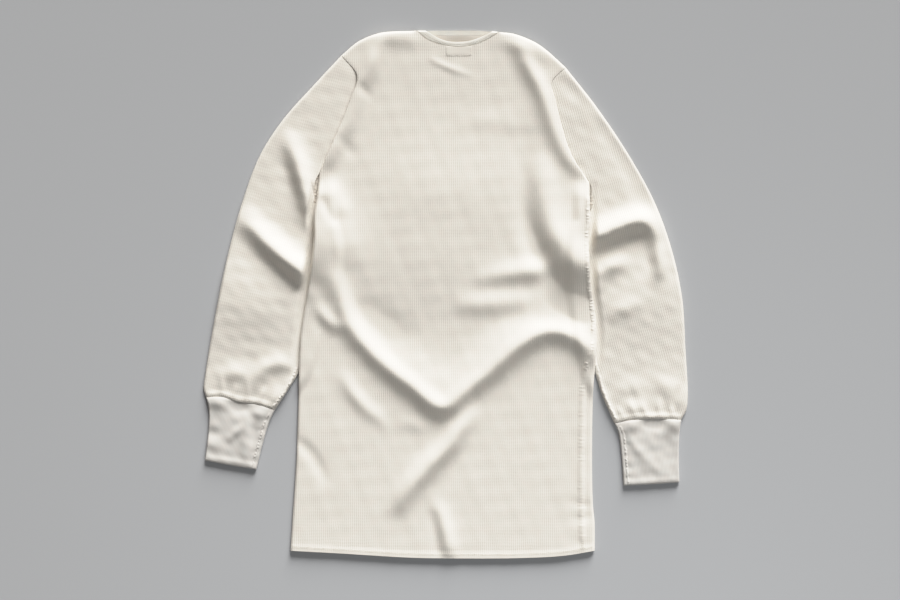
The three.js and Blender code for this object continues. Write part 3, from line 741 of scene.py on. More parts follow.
class Socket:
    """A value in a material's nodes. Arithmetic on it adds maths nodes."""

    def __init__(self, tree: bpy.types.NodeTree, socket: bpy.types.NodeSocket) -> None:
        """Keeps the node tree and the output that the value comes from."""
        self.tree = tree
        self.socket = socket

    def maths(self, operation: str, *values: "Socket | float") -> "Socket":
        """The result of a maths node with an operation and its inputs in order."""
        return new_node(self.tree, "ShaderNodeMath", {"operation": operation}, dict(enumerate(values)))

    def other(self, name: str) -> "Socket":
        """Another output of the same node."""
        return Socket(self.tree, self.socket.node.outputs[name])

    def __add__(self, value: "Socket | float") -> "Socket":
        """Adds."""
        return self.maths("ADD", self, value)

    def __radd__(self, value: float) -> "Socket":
        """Adds, from the right."""
        return self.maths("ADD", value, self)

    def __sub__(self, value: "Socket | float") -> "Socket":
        """Takes away."""
        return self.maths("SUBTRACT", self, value)

    def __rsub__(self, value: float) -> "Socket":
        """Takes itself away from a value."""
        return self.maths("SUBTRACT", value, self)

    def __mul__(self, value: "Socket | float") -> "Socket":
        """Multiplies."""
        return self.maths("MULTIPLY", self, value)

    def __rmul__(self, value: float) -> "Socket":
        """Multiplies, from the right."""
        return self.maths("MULTIPLY", value, self)

    def __truediv__(self, value: "Socket | float") -> "Socket":
        """Divides."""
        return self.maths("DIVIDE", self, value)

    def at_least(self, value: float) -> "Socket":
        """The greater of itself and a value."""
        return self.maths("MAXIMUM", self, value)

    def at_most(self, value: float) -> "Socket":
        """The smaller of itself and a value."""
        return self.maths("MINIMUM", self, value)

    def wave(self) -> "Socket":
        """A wave from 0 to 1 and back for each unit: half of one plus the cosine of a full turn per unit."""
        return 0.5 + 0.5 * self.maths("COSINE", self * (2 * math.pi))


def new_node(tree: bpy.types.NodeTree, kind: str, settings: dict | None = None, inputs: dict | None = None,
             output: str | int = 0) -> Socket:
    """Adds any node.

    Args:
        tree: The node tree that it goes in.
        kind: Its type.
        settings: Its properties by name, which are set first.
        inputs: Values or links for its inputs, by name or number.
        output: The output that is wanted.

    Returns:
        That output.
    """
    node = tree.nodes.new(kind)
    for name, value in (settings or {}).items():
        setattr(node, name, value)
    for name, value in (inputs or {}).items():
        if isinstance(value, Socket):
            tree.links.new(value.socket, node.inputs[name])
        else:
            node.inputs[name].default_value = value
    return Socket(tree, node.outputs[output])


class Paint:
    """A material under construction."""

    def __init__(self, name: str) -> None:
        """Makes a material with an empty node tree but for its output."""
        self.material = bpy.data.materials.new(name)
        self.material.use_nodes = True
        self.tree = self.material.node_tree
        self.tree.nodes.clear()
        self.end = self.tree.nodes.new("ShaderNodeOutputMaterial")

    def node(self, kind: str, settings: dict | None = None, inputs: dict | None = None,
             output: str | int = 0) -> Socket:
        """Adds any node to this material, as new_node does."""
        return new_node(self.tree, kind, settings, inputs, output)

    def blend(self, share: Socket, first: object, second: object) -> Socket:
        """A colour between two, first where share is 0 and second where it is 1."""
        return self.node("ShaderNodeMix", {"data_type": "RGBA"}, {0: share, 6: first, 7: second}, 2)

    def noise(self, place: Socket, scale: float, detail: float = 2.0) -> Socket:
        """Soft random values about a half. Scale is in patches per metre."""
        return self.node("ShaderNodeTexNoise", {"noise_dimensions": "3D"},
                         {"Vector": place, "Scale": scale, "Detail": detail, "Roughness": 0.5})

    def finish(self, shader: Socket) -> bpy.types.Material:
        """Links the shader to the output and returns the material."""
        self.tree.links.new(shader.socket, self.end.inputs["Surface"])
        return self.material


# A brown that painted shade darkens the knit towards, inside openings, where the plainness attribute is over
# one.
PAINTED_SHADE_COLOUR = (104, 84, 62)


def knit_material(kind: Knit) -> bpy.types.Material:
    """The material of one kind of knit.

    A cell is one minus the rib wave, times one minus a share of the row wave. Where the cloth's plainness is
    high the cells are shallow. Where the plainness attribute is over one, as inside an opening, painted shade
    darkens the colour towards a brown by what is over. The pattern lies on the flat cloth by the piece's UV
    map, and on thread it lies in space.

    Args:
        kind: The kind of knit.

    Returns:
        The material.
    """
    look = kind.value
    paint = Paint(f"{kind.name.lower()} knit")
    if kind is Knit.THREAD:
        place = paint.node("ShaderNodeTexCoord", output="Object")
    else:
        place = paint.node("ShaderNodeUVMap", {"uv_map": "cloth"})
    plain_and_shade = paint.node("ShaderNodeAttribute", {"attribute_name": "plain_and_shade"}, output="Fac")
    axes = paint.node("ShaderNodeSeparateXYZ", inputs={"Vector": place})
    rib = (axes / (look.rib * MM) + (paint.noise(place, 60.0) - 0.5) * look.wander).wave()
    row = (axes.other("Y") / (look.row * MM) + (paint.noise(place, 45.0) - 0.5) * look.wander).wave()
    uneven = 0.55 + 0.9 * paint.noise(place, 140.0, 3.0)
    cell = (1.0 - rib) * (1.0 - row * (1.0 - look.ribbed)) * uneven * (1.0 - plain_and_shade.at_most(1.0) * 0.8)
    height = (1.0 - cell) + paint.noise(place, 900.0, 3.0) * look.fluff

    hue = (paint.noise(place, 75.0, 1.0) - 0.5) * 2.2
    tone = paint.blend(hue.at_least(0.0), linear(look.colour), linear(look.warm))
    tone = paint.blend((-1.0 * hue).at_least(0.0), tone, linear(look.cool))
    # Painted shade in the cells: their colour darkens towards 0.35 of its light, as the knit's hollows would
    # in shadow.
    shaded = paint.blend(cell * look.shade, tone, linear(look.colour, 0.35))
    # Painted shade: where the plainness attribute is over one, the colour is darkened towards a brown by what
    # is over.
    colour = paint.blend((plain_and_shade - 1.0).at_least(0.0), shaded, linear(PAINTED_SHADE_COLOUR))
    bump = paint.node("ShaderNodeBump", inputs={
        "Strength": 0.9, "Distance": look.depth * MM, "Height": height})
    return paint.finish(paint.node("ShaderNodeBsdfPrincipled", inputs={
        "Base Color": colour, "Roughness": look.roughness, "Specular IOR Level": 0.15,
        "Sheen Weight": look.sheen, "Sheen Roughness": 0.55, "Normal": bump}))


@dataclass
class Wardrobe:
    """The finishes, made once and shared by the pieces."""

    made: dict[Knit, bpy.types.Material] = field(default_factory=dict)

    def dress(self, piece: bpy.types.Object, kind: Knit) -> None:
        """Gives a piece its material and slot, and fixes it to the garment."""
        if kind not in self.made:
            self.made[kind] = knit_material(kind)
        piece.data.materials.append(self.made[kind])
        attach(piece, "root")
        piece.data.calc_loop_triangles()
        LOG.info("%s: %d triangles, %s", piece.name, len(piece.data.loop_triangles), kind.name.lower())


@dataclass(frozen=True)
class StitchRow:
    """A row of stitches along a line on a piece.

    Attributes:
        line: Its x and y, in mm.
        height: Height of the cloth under it.
        pitch: Distance from stitch to stitch.
        length: Length of a stitch.
        thick: Its thickness.
        lean: How far it turns from the line, in degrees.
        aside: How far it lies to the left of the line, in mm.
        start: Where the row starts on the line, as a share of its length.
        stop: Where it ends.
    """

    line: Sequence[tuple[float, float]]
    height: Height
    pitch: float = 3.0
    length: float = 2.2
    thick: float = 0.55
    lean: float = 0.0
    aside: float = 0.0
    start: float = 0.0
    stop: float = 1.0

    def places(self) -> tuple[Array, Array, Array]:
        """Centres of the stitches, and unit vectors along and across them."""
        line = Line(self.line)
        count = max(2, round(line.length * (self.stop - self.start) / self.pitch))
        share = self.start + (np.arange(count) + 0.5) / count * (self.stop - self.start)
        forward = line.forward(share)
        left = leftward(forward)
        centre = line.at(share)[:, :2] + left * self.aside
        lean = math.radians(self.lean)
        along = forward * math.cos(lean) + left * math.sin(lean)
        reach = along * self.length / 2
        rise = (self.height(*(centre + reach).T) - self.height(*(centre - reach).T)) / self.length
        along = np.column_stack([along, rise])
        along /= np.linalg.norm(along, axis=1, keepdims=True)
        across = np.cross([0.0, 0.0, 1.0], along)
        across /= np.linalg.norm(across, axis=1, keepdims=True)
        return np.column_stack([centre, self.height(*centre.T) + self.thick * 0.15]), along, across


def sewn(name: str, rows: Sequence[StitchRow]) -> bpy.types.Object:
    """All the stitches of some rows as one mesh: each is a short rounded bead.

    A bead's half width goes with the square root of one minus the square of the place along it.

    Args:
        name: The object's name.
        rows: The rows of stitches.

    Returns:
        The new object.
    """
    rings, around = np.array([-0.98, -0.7, 0.0, 0.7, 0.98]), 6
    turn = np.arange(around) * 2 * math.pi / around
    girth = np.sqrt(1 - rings**2)[:, None]
    length = np.broadcast_to(rings[:, None], (len(rings), around))
    bead = np.stack([length, girth * np.cos(turn), girth * np.sin(turn)], axis=-1).reshape(-1, 3)
    index = np.arange(len(bead)).reshape(len(rings), around)
    after = np.roll(index, -1, axis=1)
    ends = np.vstack([end[np.array([[0, 1, 2, 3], [0, 3, 4, 5]])] for end in (index[0][::-1], index[-1])])
    faces = np.vstack([quads(index[:-1], after[:-1], after[1:], index[1:]), ends])
    points = []
    for row in rows:
        centre, along, across = row.places()
        axes = (along * row.length, across * row.thick, np.cross(along, across) * row.thick)
        points.append(centre[:, None] + bead @ (np.stack(axes, axis=1) / 2))
    points = np.concatenate(points)
    every = faces[None] + (np.arange(len(points)) * len(bead))[:, None, None]
    points = points.reshape(-1, 3)
    return mesh_object(name, points, every.reshape(-1, 4), plain_and_shade=np.zeros(len(points)))


@dataclass(frozen=True)
class RaisedSeam:
    """The overcast edge of a seam that shows through as a narrow, puckered ridge.

    Attributes:
        line: Its x and y, in mm.
        height: Height of the cloth under it.
        width: Its width.
        rise: How high it stands.
        pucker: Distance between puckers.
        seed: Start of the random numbers.
        start: Where it starts on the line, as a share of its length.
        stop: Where it ends.
        plain_and_shade: The knit's plainness, and above one painted shade.
    """

    COLUMNS = 9
    STEP = 0.9
    FADE = 6.0

    line: Sequence[tuple[float, float]]
    height: Height
    width: float = 6.5
    rise: float = 1.3
    pucker: float = 5.0
    seed: int = 5
    start: float = 0.0
    stop: float = 1.0
    plain_and_shade: float = 0.5

    def build(self, name: str) -> bpy.types.Object:
        """Makes the ridge.

        Its section is a low arch: one minus the square of the place across. Along it, the rise and the
        sideways wander are random values at the puckers with smooth steps between them.

        Args:
            name: The object's name.

        Returns:
            The new object.
        """
        line = Line(self.line)
        run = line.length * (self.stop - self.start)
        rows = math.ceil(run / self.STEP)
        share = self.start + np.linspace(0, 1, rows) * (self.stop - self.start)
        dice = np.random.default_rng(self.seed)
        knots = math.ceil(run / self.pucker * 2) + 2
        place = np.linspace(0, knots - 2, rows)
        first = place.astype(int)
        step = smooth(place - first)
        lift, wander = dice.uniform(0, 1, knots), dice.uniform(-1, 1, knots)
        lift[::2] *= 0.35
        lift, wander = (knot[first] * (1 - step) + knot[first + 1] * step for knot in (lift, wander))
        ends = smooth(np.minimum(share - self.start, self.stop - share) * line.length / self.FADE)
        across = np.linspace(1, -1, self.COLUMNS)[None, :]
        aside = across * self.width / 2 + wander[:, None] * 0.7
        spots = line.at(share)[:, None, :2] + leftward(line.forward(share))[:, None] * aside[..., None]
        arch = (1 - across**2) * (self.rise * (0.35 + lift) * ends)[:, None]
        ground = self.height(spots[..., 0], spots[..., 1])
        plain_and_shade = np.full(ground.shape, self.plain_and_shade)
        outer, inner = (Grid(np.concatenate([spots, level[..., None]], axis=-1), spots, plain_and_shade)
                        for level in (ground + arch + 0.05, ground - 0.9))
        return shell(name, outer, inner, closed=False)


class Piece:
    """What a piece of the garment does unless it says otherwise."""

    def bottom(self, x: Array, y: Array) -> Array:
        """It rests on the surface."""
        return np.zeros_like(x)

    def seams(self) -> list[RaisedSeam]:
        """It has no raised seam."""
        return []


@dataclass
class Body(Piece):
    """Back and front, sewn at the sides.

    Attributes:
        height: Hem to shoulder, in mm.
        edge: How far from its edge it rounds over.
        armpit: Share of the height where the armhole starts.
        neck: Share of the top edge on each side of the neck.
        blur: Share over which the neck and the armhole start.
        armhole: How much of its edge stands up along the armhole.
        hem: Width of the turned-up hem.
        hem_rise: How much the hem is thicker.
        patch_rise: How far the back stands up where it is sewn to something behind it.
        tuck_top: How high up a tucked sleeve still lies further in.
        tuck_edge: How far from the sleeve's inner edge the body comes down.
        tuck_blur: Over what distance it comes down.
    """

    height: float = 770.0
    edge: float = 5.0
    armpit: float = 0.75
    neck: float = 1 / 3
    blur: float = 0.03
    armhole: float = 0.14
    hem: float = 8.0
    hem_rise: float = 0.7
    patch_rise: float = 0.45
    tuck_top: float = 110.0
    tuck_edge: float = 9.0
    tuck_blur: float = 16.0

    def __post_init__(self) -> None:
        """Draws the outlines and folds, and the tube that they make."""
        self.lines = {name: Line(rows) for name, rows in OUTLINE.items()}
        self.inner = {hand: Line(SLEEVE_LINES[hand]["inner"]) for hand in Hand}
        self.relief = Relief(BODY_FOLDS | BODY_CREASES)
        self.ripple = Ripple(seed=11, height=0.05, shortest=22, longest=90)
        self.tube = Tube(self.plan, self.top, self.bottom, self.edge, lift=SEAM / 2, cap=self.cap,
                         sink=self.sink, plain_and_shade=self.plain_and_shade)

    def side(self, hand: Hand) -> Line:
        """The side's outline."""
        return self.lines[f"{hand.value}Side"]

    def flank(self, hand: Hand, v: Array) -> Array:
        """The outline from the hem up the side and on round the armhole."""
        upper = self.lines[f"{hand.value}Armhole"].at(1 - (v - self.armpit) / (1 - self.armpit))
        return np.where((v < self.armpit)[..., None], self.side(hand).at(1 - v / self.armpit), upper)

    def shoulders(self, neck: Line, u: Array) -> Array:
        """The top edge: shoulder, neck, shoulder."""
        place = u / self.neck
        left, right = self.lines["leftShoulder"], self.lines["rightShoulder"]
        inward = np.where((place > 2)[..., None], right.at(place - 2), neck.at(place - 1))
        return np.where((place < 1)[..., None], left.at(place), inward)

    def plan(self, u: Array, v: Array, side: int) -> Array:
        """x and y of the back, or of the front where side is -1."""
        neck = self.lines["backNeckSeam" if side > 0 else "frontNeckSeam"]
        cloth = FourSided(self.lines["hem"].at, partial(self.shoulders, neck), partial(self.flank, Hand.LEFT),
                          partial(self.flank, Hand.RIGHT))
        return cloth(u, v)

    def seat(self, hand: Hand, x: Array, y: Array) -> Array:
        """How far the body is lifted by a sleeve tucked beneath it, from 0 to 1."""
        inner = self.inner[hand].crossing(np.minimum(y, self.tuck_top))
        inward = (inner - x) * hand.outward
        return (1 - smooth((inward - self.tuck_edge) / self.tuck_blur)) * TUCKED(y)

    def bottom(self, x: Array, y: Array) -> Array:
        """Height of the underside, which lies over the tucked sleeves."""
        return (PRESSED + CLEAR) * np.maximum(self.seat(Hand.LEFT, x, y), self.seat(Hand.RIGHT, x, y))

    def hemmed(self, x: Array, y: Array, width: float) -> Array:
        """1 in a hem of that width and 0 above it."""
        return 1 - smooth((y - self.lines["hem"].crossing(x, 0) - width) / 2)

    def backed(self, x: Array, y: Array) -> Array:
        """Where the back is sewn to something behind it, below the neck: 1 inside, 0 outside."""
        return PATCH_ACROSS(x) * PATCH_ALONG(y)

    def top(self, x: Array, y: Array) -> Array:
        """Height of the back: over the underside come two layers, the slack with its folds, and the hem."""
        folds = slack(BODY_AIR + self.relief(x, y) + self.ripple(x, y))
        sewn_up = self.hem_rise * self.hemmed(x, y, self.hem) + self.patch_rise * self.backed(x, y)
        return self.bottom(x, y) + PRESSED + folds + sewn_up

    def cap(self, u: Array, v: Array) -> Array:
        """Rounds the shoulders over, and leaves the neck open."""
        rounded = arc((1 - v) * self.height / self.edge)
        neck = Stretch(self.neck - self.blur, 1 - self.neck + self.blur, self.blur, self.blur)
        return rounded + (1 - rounded) * neck(u)

    def sink(self, v: Array) -> Array:
        """Whole along the sides, and slight along the armholes, where the sleeves carry on."""
        return 1 - (1 - self.armhole) * smooth((v - self.armpit) / self.blur)

    def plain_and_shade(self, x: Array, y: Array) -> Array:
        """The turned-up hem is plainer than the knit above it, and so are the patch that is sewn down below
        the neck and the inside of the front, where it shows above the back. That inside also gets painted
        shade in its
        middle, given as values over one: a bell about x 19, fading out towards y 397."""
        inside = smooth((y - self.lines["backNeckSeam"].crossing(x, 0) + 1) / 2) * NECK_INSIDE(x)
        # Painted shade inside the front's neck, darkest in its middle.
        painted_shade = 0.42 * np.exp(-((x - 19) / 34) ** 2) * smooth((397 - y) / 15)
        sewn_down = np.maximum(0.7 * self.hemmed(x, y, self.hem - 1), 0.9 * self.backed(x, y))
        return np.maximum(sewn_down, inside * (1 + painted_shade))

    def build(self) -> dict[str, bpy.types.Object]:
        """Makes the back and the front."""
        rim = self.edge / self.height
        top = 1 - np.array([0.6, 0.3, 0.1, 0.0]) * rim
        fine, coarse = (np.concatenate([np.linspace(0, 1 - rim, rows), top]) for rows in (250, 110))
        return {
            "body_back": self.tube.panel("back_cloth", fine, 168, 1),
            "body_front": self.tube.panel("front_cloth", coarse, 70, -1),
        }

    def seams(self) -> list[RaisedSeam]:
        """The right side seam, which wanders from the edge onto the back, and is flatter towards the hem."""
        line = places(BODY_CREASES["side seam"])
        return [RaisedSeam(line, self.top, width=6.5, rise=0.95, pucker=4.4, stop=0.5),
                RaisedSeam(line, self.top, width=12.0, rise=0.35, pucker=5.2, seed=6, start=0.49, stop=0.985)]

    def stitches(self) -> list[StitchRow]:
        """The hem's two lines, the four-sided row below the neck, and the raised side seam."""
        hem = [(x, y + 6.4) for x, y in OUTLINE["hem"]]
        seam = places(BODY_CREASES["side seam"])
        return [
            StitchRow(hem, self.top, pitch=3.2, length=2.5, thick=0.4, start=0.008, stop=0.992),
            StitchRow(hem, self.top, pitch=3.2, length=2.5, thick=0.4, aside=-1.6, start=0.008, stop=0.992),
            StitchRow(PATCH_ROW, self.top, pitch=2.5, length=2.2, thick=0.65),
            StitchRow(seam, self.top, pitch=3.1, length=3.0, thick=0.42, lean=38, aside=2.0, start=0.02),
            StitchRow(seam, self.top, pitch=3.1, length=3.0, thick=0.42, lean=-38, aside=-2.0, start=0.02),
            StitchRow(seam, self.top, pitch=3.1, length=2.6, thick=0.7, start=0.02),
        ]


@dataclass
class Limb(Piece):
    """The tube of a sleeve or of its cuff.

    Attributes:
        hand: Left or right as seen from above.
    """

    hand: Hand

    def __post_init__(self) -> None:
        """Draws the outlines, and the tube that they make."""
        self.lines = {name: Line(rows) for name, rows in SLEEVE_LINES[self.hand].items()}
        self.tube = Tube(self.plan, self.top, self.bottom, self.edge, cap=self.cap, grain=self.grain)

    def plan(self, u: Array, v: Array, side: int) -> Array:
        """x and y. Across, it runs so that the knit faces outwards on either hand."""
        return self.outline(u if self.hand is Hand.RIGHT else 1 - u, v)


@dataclass
class Sleeve(Limb):
    """A sleeve, sewn into the armhole and gathered into its cuff.

    Attributes:
        body: The body it is sewn to.
        edge: How far from its edge it rounds over, in mm.
        length: Its length along the middle, in mm.
        dip: How far from its ends it dips.
        lead: How far rows run ahead along its outer edge.
        free: Where it comes clear of the body at the armhole: the y, and over what distance.
        tucked: The same below, as the distance outward from the body's edge.
        armpit: Height of the seam inside the opening at the armpit, in mm.
    """

    body: Body
    edge: float = 4.5
    length: float = 560.0
    dip: float = 4.0
    lead: float = 0.8
    free: tuple[float, float] = (145.0, 28.0)
    tucked: tuple[float, float] = (3.0, 10.0)
    armpit: float = 2.6

    @property
    def grain(self) -> float:
        """Direction of its ribs: along the line from the shoulder to the cuff, in degrees."""
        return 15.0 * self.hand.outward

    def __post_init__(self) -> None:
        """Draws the outlines and folds, and the tube that they make."""
        super().__post_init__()
        self.relief = Relief(SLEEVE_FOLDS[self.hand] | SLEEVE_CREASES[self.hand])
        self.ripple = Ripple(seed=21 + self.hand.outward, height=0.07, shortest=18, longest=70)
        armhole = self.body.lines[f"{self.hand.value}Armhole"]
        wrist, inner = self.lines["cuffSeam"], self.lines["inner"]
        self.outline = FourSided(armhole.at, wrist.at, self.outer, inner.at, power=8)

    def outer(self, v: Array) -> Array:
        """The outer edge, on which rows run ahead in the middle."""
        return self.lines["outer"].at(v + self.lead * v * (1 - v))

    def clear(self, x: Array, y: Array) -> Array:
        """How much of the relief is left, from 0 beneath the body to 1 clear of it."""
        outward = (x - self.body.side(self.hand).crossing(y)) * self.hand.outward
        (armhole, blur), (edge, fade) = self.free, self.tucked
        return np.maximum(smooth((y - armhole) / blur), smooth((outward - edge) / fade))

    def top(self, x: Array, y: Array) -> Array:
        """Height of the upper side: two layers and the slack with its folds."""
        return PRESSED + slack(SLEEVE_AIR + self.relief(x, y) + self.ripple(x, y)) * self.clear(x, y)

    def cap(self, u: Array, v: Array) -> Array:
        """Dips a little into the armhole seam and into the cuff seam."""
        run = self.length / self.dip
        return 0.92 + 0.08 * np.minimum(arc(v * run), arc((1 - v) * run))

    def build(self) -> dict[str, bpy.types.Object]:
        """Makes the sleeve."""
        ends = np.array([0.0, 0.001, 0.0025, 0.0045])
        rows = np.concatenate([0.0003 + ends, np.linspace(0.0075, 0.9925, 180), (0.9994 - ends)[::-1]])
        return {f"sleeve_{self.hand.value}": self.tube.whole(f"{self.hand.value}_sleeve_cloth", rows, 58, 18)}

    def seams(self) -> list[RaisedSeam]:
        """The underarm seam, and its start inside the opening at the armpit, which is darkened with painted
        shade.
        """
        line = places(SLEEVE_CREASES[self.hand]["underarm seam"])
        return [RaisedSeam(line, self.top, width=4.6, rise=1.1, seed=7 + self.hand.outward),
                # The seam's real start inside the armpit opening, coloured with painted shade: its plainness
                # value over one darkens it to a brown.
                RaisedSeam(ARMPITS[self.hand], lambda x, y: np.full_like(x, self.armpit), width=8.0, rise=1.4,
                           seed=4, plain_and_shade=1.35)]

    def stitches(self) -> list[StitchRow]:
        """Two rows along the underarm seam, and one above the cuff."""
        seam = places(SLEEVE_CREASES[self.hand]["underarm seam"])
        wrist = [(x, y + 3.2) for x, y in SLEEVE_LINES[self.hand]["cuffSeam"]]
        return [
            StitchRow(seam, self.top, pitch=3.0, length=2.8, lean=35, aside=1.8, thick=0.42),
            StitchRow(seam, self.top, pitch=3.0, length=2.8, lean=-35, aside=-1.8, thick=0.42),
            StitchRow(wrist, self.top, pitch=2.8, length=2.0, thick=0.5, start=0.04, stop=0.96),
        ]


@dataclass
class Cuff(Limb):
    """A fine ribbed cuff.

    Attributes:
        edge: How far from its edge it rounds over, in mm.
        length: Its length, in mm.
        dip: How far from its seam it dips.
        fold: How far from its folded end it rounds over.
        gathers: Where along its own seam each short gather is, as a share, and how far it reaches, in mm.
    """

    edge: float = 2.4
    length: float = 96.0
    dip: float = 4.0
    fold: float = 2.5
    gathers: Sequence[tuple[float, float]] = ((0.16, 4), (0.34, 7), (0.52, 3), (0.7, 6), (0.86, 5))

    @property
    def grain(self) -> float:
        """Direction of its ribs, in degrees."""
        return -10.0 if self.hand is Hand.LEFT else 3.0

    def __post_init__(self) -> None:
        """Draws the outlines and folds, and the tube that they make."""
        super().__post_init__()
        self.seam = [(x + 6.5 * self.hand.outward, y) for x, y in SLEEVE_LINES[self.hand]["cuffInner"]]
        self.relief = Relief(CUFF_FOLDS[self.hand] | self.puckers())
        self.ripple = Ripple(seed=31 + self.hand.outward, height=0.07, shortest=14, longest=50)
        edges = ("cuffSeam", "cuffEnd", "cuffOuter", "cuffInner")
        self.outline = FourSided(*(self.lines[name].at for name in edges))

    def puckers(self) -> dict[str, Fold]:
        """The short gathers beside the cuff's own seam."""
        folds, out = {}, self.hand.outward
        for share, reach in self.gathers:
            x, y = Line(self.seam).at(np.array(share))[:2]
            folds[f"pucker {share}"] = Fold(2.4, [(x - 3 * out, y, -0.6), (x + reach * out, y - 2, -0.7)])
        return folds

    def top(self, x: Array, y: Array) -> Array:
        """Height of the upper side."""
        return PRESSED + slack(CUFF_AIR + self.relief(x, y) + self.ripple(x, y))

    def cap(self, u: Array, v: Array) -> Array:
        """Dips a little into its seam, and closes up at the folded end."""
        return 0.7 + 0.3 * np.minimum(arc(v * self.length / self.dip), arc((1 - v) * self.length / self.fold))

    def build(self) -> dict[str, bpy.types.Object]:
        """Makes the cuff."""
        rows = np.concatenate([[0.002, 0.008, 0.02, 0.035], np.linspace(0.05, 0.97, 44), [0.98, 0.99, 1.0]])
        return {f"cuff_{self.hand.value}": self.tube.whole(f"{self.hand.value}_cuff_cloth", rows, 54, 18)}

    def seams(self) -> list[RaisedSeam]:
        """The cuff's own seam."""
        return [RaisedSeam(self.seam, self.top, width=3.6, rise=0.9, seed=11 + self.hand.outward, start=0.04,
                           stop=0.97)]

    def stitches(self) -> list[StitchRow]:
        """Two rows along its own seam."""
        return [StitchRow(self.seam, self.top, pitch=2.7, length=2.4, lean=lean, aside=aside, thick=0.3,
                          start=0.05, stop=0.97) for aside, lean in ((1.6, 32), (-1.6, -32))]


@dataclass
class NeckBand(Piece):
    """The narrow band round the neck: along the back, and returning along the front.

    Attributes:
        body: The body it is sewn to.
        edge: How far from its ends it rounds over, in mm.
        shift: How far it stands clear of the neck's edge.
    """

    body: Body
    edge: float = 4.0
    shift: float = 0.6

    def __post_init__(self) -> None:
        """Makes the tube."""
        self.tube = Tube(self.plan, self.body.top, self.bottom, self.edge, cap=self.cap, grain=90.0)

    def plan(self, u: Array, v: Array, side: int) -> Array:
        """x and y between the neck's seam and the band's edge."""
        name = "back" if side > 0 else "front"
        seam, edge = (self.body.lines[f"{name}Neck{line}"].at(u) for line in ("Seam", "Edge"))
        return seam + (edge - seam) * v[..., None] + np.array([0.0, self.shift if side > 0 else 0.0])

    def cap(self, u: Array, v: Array) -> Array:
        """The band is a roll of cloth, highest in its middle."""
        return 0.88 + 0.12 * arc(1 - np.abs(2 * v - 1))

    def build(self) -> dict[str, bpy.types.Object]:
        """Makes the band."""
        return {"neck_band": self.tube.whole("neck_band_cloth", np.linspace(0.03, 1, 12), 90, 90)}

    def stitches(self) -> list[StitchRow]:
        """One fine row along the band's middle."""
        middle = (np.array(OUTLINE["backNeckSeam"]) + OUTLINE["backNeckEdge"]) / 2 + [0.0, self.shift]
        return [StitchRow(middle, self.body.top, pitch=2.4, length=1.8, thick=0.45, start=0.06, stop=0.94)]


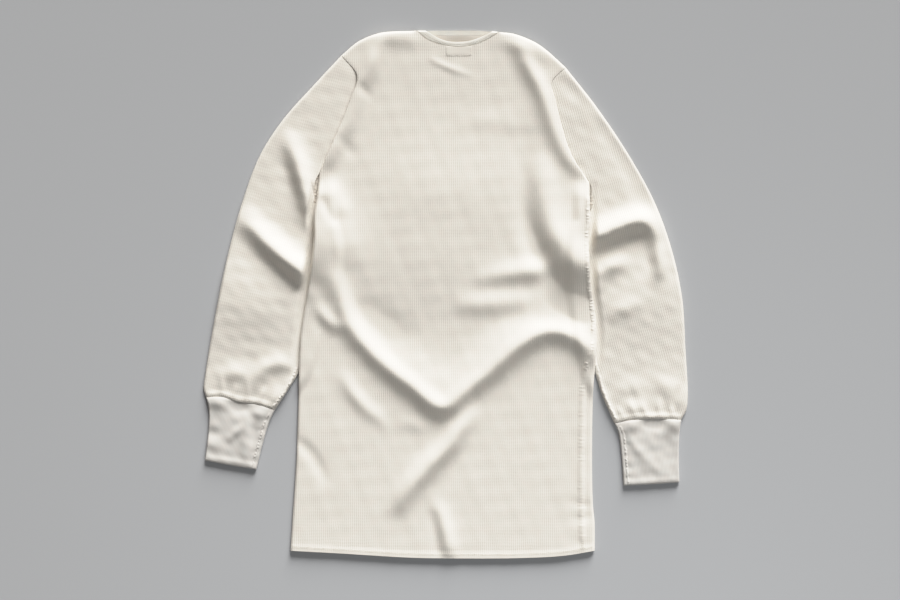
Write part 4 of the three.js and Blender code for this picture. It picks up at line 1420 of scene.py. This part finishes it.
@dataclass
class Studio:
    """A pale floor, soft light from beyond the neck, and a camera straight above.

    Attributes:
        wide: Width of the picture at the cloth, in metres.
        look_at: What the camera is centred on, in metres.
        lens: Focal length, in mm.
        sensor: Width of the sensor, in mm.
        floor: Colour of the floor in screen values.
        floor_size: Half the floor's width, in mm.
        key: Strength of the main light, which is even and comes from far beyond the neck.
        key_from: Where the main light comes from.
        spread: How wide the main light looks from the garment, in degrees, which softens its shadows.
        low: Power of the light beyond the hem, in watts.
        low_from: Where that light is, in metres.
        low_size: Its width, in metres.
        fill: Strength of the light from all round.
        tones: How bright the picture shows a share of the brightest light: the bright end is softened.
        brightest: The light that is shown as white.
    """

    wide: float = 1.35
    look_at: tuple[float, float, float] = (0.00655, -0.00905, 0.01)
    lens: float = 85.0
    sensor: float = 36.0
    floor: tuple[int, int, int] = (176, 178, 181)
    floor_size: float = 6000.0
    key: float = 6.5
    key_from: tuple[float, float, float] = (1.4, 5.25, 2.05)
    spread: float = 32.0
    low: float = 5.5
    low_from: tuple[float, float, float] = (0.35, -0.75, 1.3)
    low_size: float = 1.0
    fill: float = 0.11
    tones: Sequence[tuple[float, float]] = ((0.2, 0.3), (0.4, 0.6), (0.533, 0.775), (0.667, 0.88),
                                            (0.833, 0.955))
    brightest: float = 1.5

    def build(self) -> None:
        """Makes the floor, the lights, the camera and the softened bright end."""
        corners = np.array([[-1, -1, 0], [1, -1, 0], [1, 1, 0], [-1, 1, 0]]) * self.floor_size
        ground = mesh_object("floor", corners - [0.0, 0.0, 0.3], np.array([[0, 1, 2, 3]]))
        paint = Paint("floor")
        ground.data.materials.append(paint.finish(paint.node("ShaderNodeBsdfPrincipled", inputs={
            "Base Color": linear(self.floor), "Roughness": 0.9, "Specular IOR Level": 0.1})))
        key = self.light("SUN", self.key_from, self.key, (1.0, 0.985, 0.96))
        key.angle = math.radians(self.spread)
        low = self.light("AREA", self.low_from, self.low, (0.93, 0.97, 1.0))
        low.size = self.low_size
        self.surround((1.0, 0.9, 0.8, 1.0))
        self.soften()
        self.camera()

    def light(self, kind: str, place: tuple[float, float, float], power: float,
              colour: tuple[float, float, float]) -> bpy.types.Light:
        """Adds a light that faces the garment.

        Args:
            kind: Its type.
            place: Where it is, in metres.
            power: Its strength.
            colour: Its colour.

        Returns:
            The light.
        """
        data = bpy.data.lights.new(kind.lower(), kind)
        data.energy, data.color = power, colour
        holder = bpy.data.objects.new(data.name, data)
        holder.location = place
        holder.rotation_mode = "QUATERNION"
        holder.rotation_quaternion = (-Vector(place)).to_track_quat("-Z", "Y")
        bpy.context.scene.collection.objects.link(holder)
        return data

    def surround(self, colour: tuple[float, float, float, float]) -> None:
        """Fills the shade with even light of a colour."""
        world = bpy.data.worlds.new("studio")
        world.use_nodes = True
        back = world.node_tree.nodes["Background"]
        back.inputs["Color"].default_value = colour
        back.inputs["Strength"].default_value = self.fill
        bpy.context.scene.world = world

    def soften(self) -> None:
        """Sets the curve from light to picture."""
        view = bpy.context.scene.view_settings
        view.view_transform = "Standard"
        view.use_curve_mapping = True
        view.curve_mapping.white_level = (self.brightest,) * 3
        for share, shown in self.tones:
            view.curve_mapping.curves[3].points.new(share, shown)
        view.curve_mapping.update()

    def camera(self) -> None:
        """Adds the camera, as far above the garment as its lens needs."""
        data = bpy.data.cameras.new("camera")
        data.lens, data.sensor_width, data.clip_end = self.lens, self.sensor, 50.0
        holder = bpy.data.objects.new("camera", data)
        holder.location = Vector(self.look_at) + Vector((0.0, 0.0, self.wide * self.lens / self.sensor))
        bpy.context.scene.collection.objects.link(holder)
        bpy.context.scene.camera = holder


@dataclass(frozen=True)
class Cut:
    """The flat cut of a piece: its width, length and area, in metres and square metres."""

    width: float
    length: float
    area: float


@dataclass
class Top:
    """The whole garment."""

    wardrobe: Wardrobe = field(default_factory=Wardrobe)

    def build(self) -> None:
        """Builds and dresses each piece, and sews it."""
        body = Body()
        parts = [(body, Knit.WAFFLE)]
        parts += [(Sleeve(hand, body), Knit.WAFFLE) for hand in Hand]
        parts += [(Cuff(hand), Knit.RIB) for hand in Hand]
        parts.append((NeckBand(body), Knit.BINDING))
        for part, kind in parts:
            made = part.build()
            first = next(iter(made))
            sewing = [sewn(f"{first}_stitches", part.stitches())]
            self.wardrobe.dress(sewing[0], Knit.THREAD)
            for seam in part.seams():
                sewing.append(seam.build(f"{first}_seam_{len(sewing)}"))
                self.wardrobe.dress(sewing[-1], kind)
            for node, piece in made.items():
                self.wardrobe.dress(piece, kind)
                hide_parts(node)
                sewing if node == first else ()


def main() -> None:
    """Builds the garment and its studio."""
    logging.basicConfig(level=logging.INFO, format="%(message)s")
    Top().build()
    Studio().build()


if __name__ == "__main__":
    main()
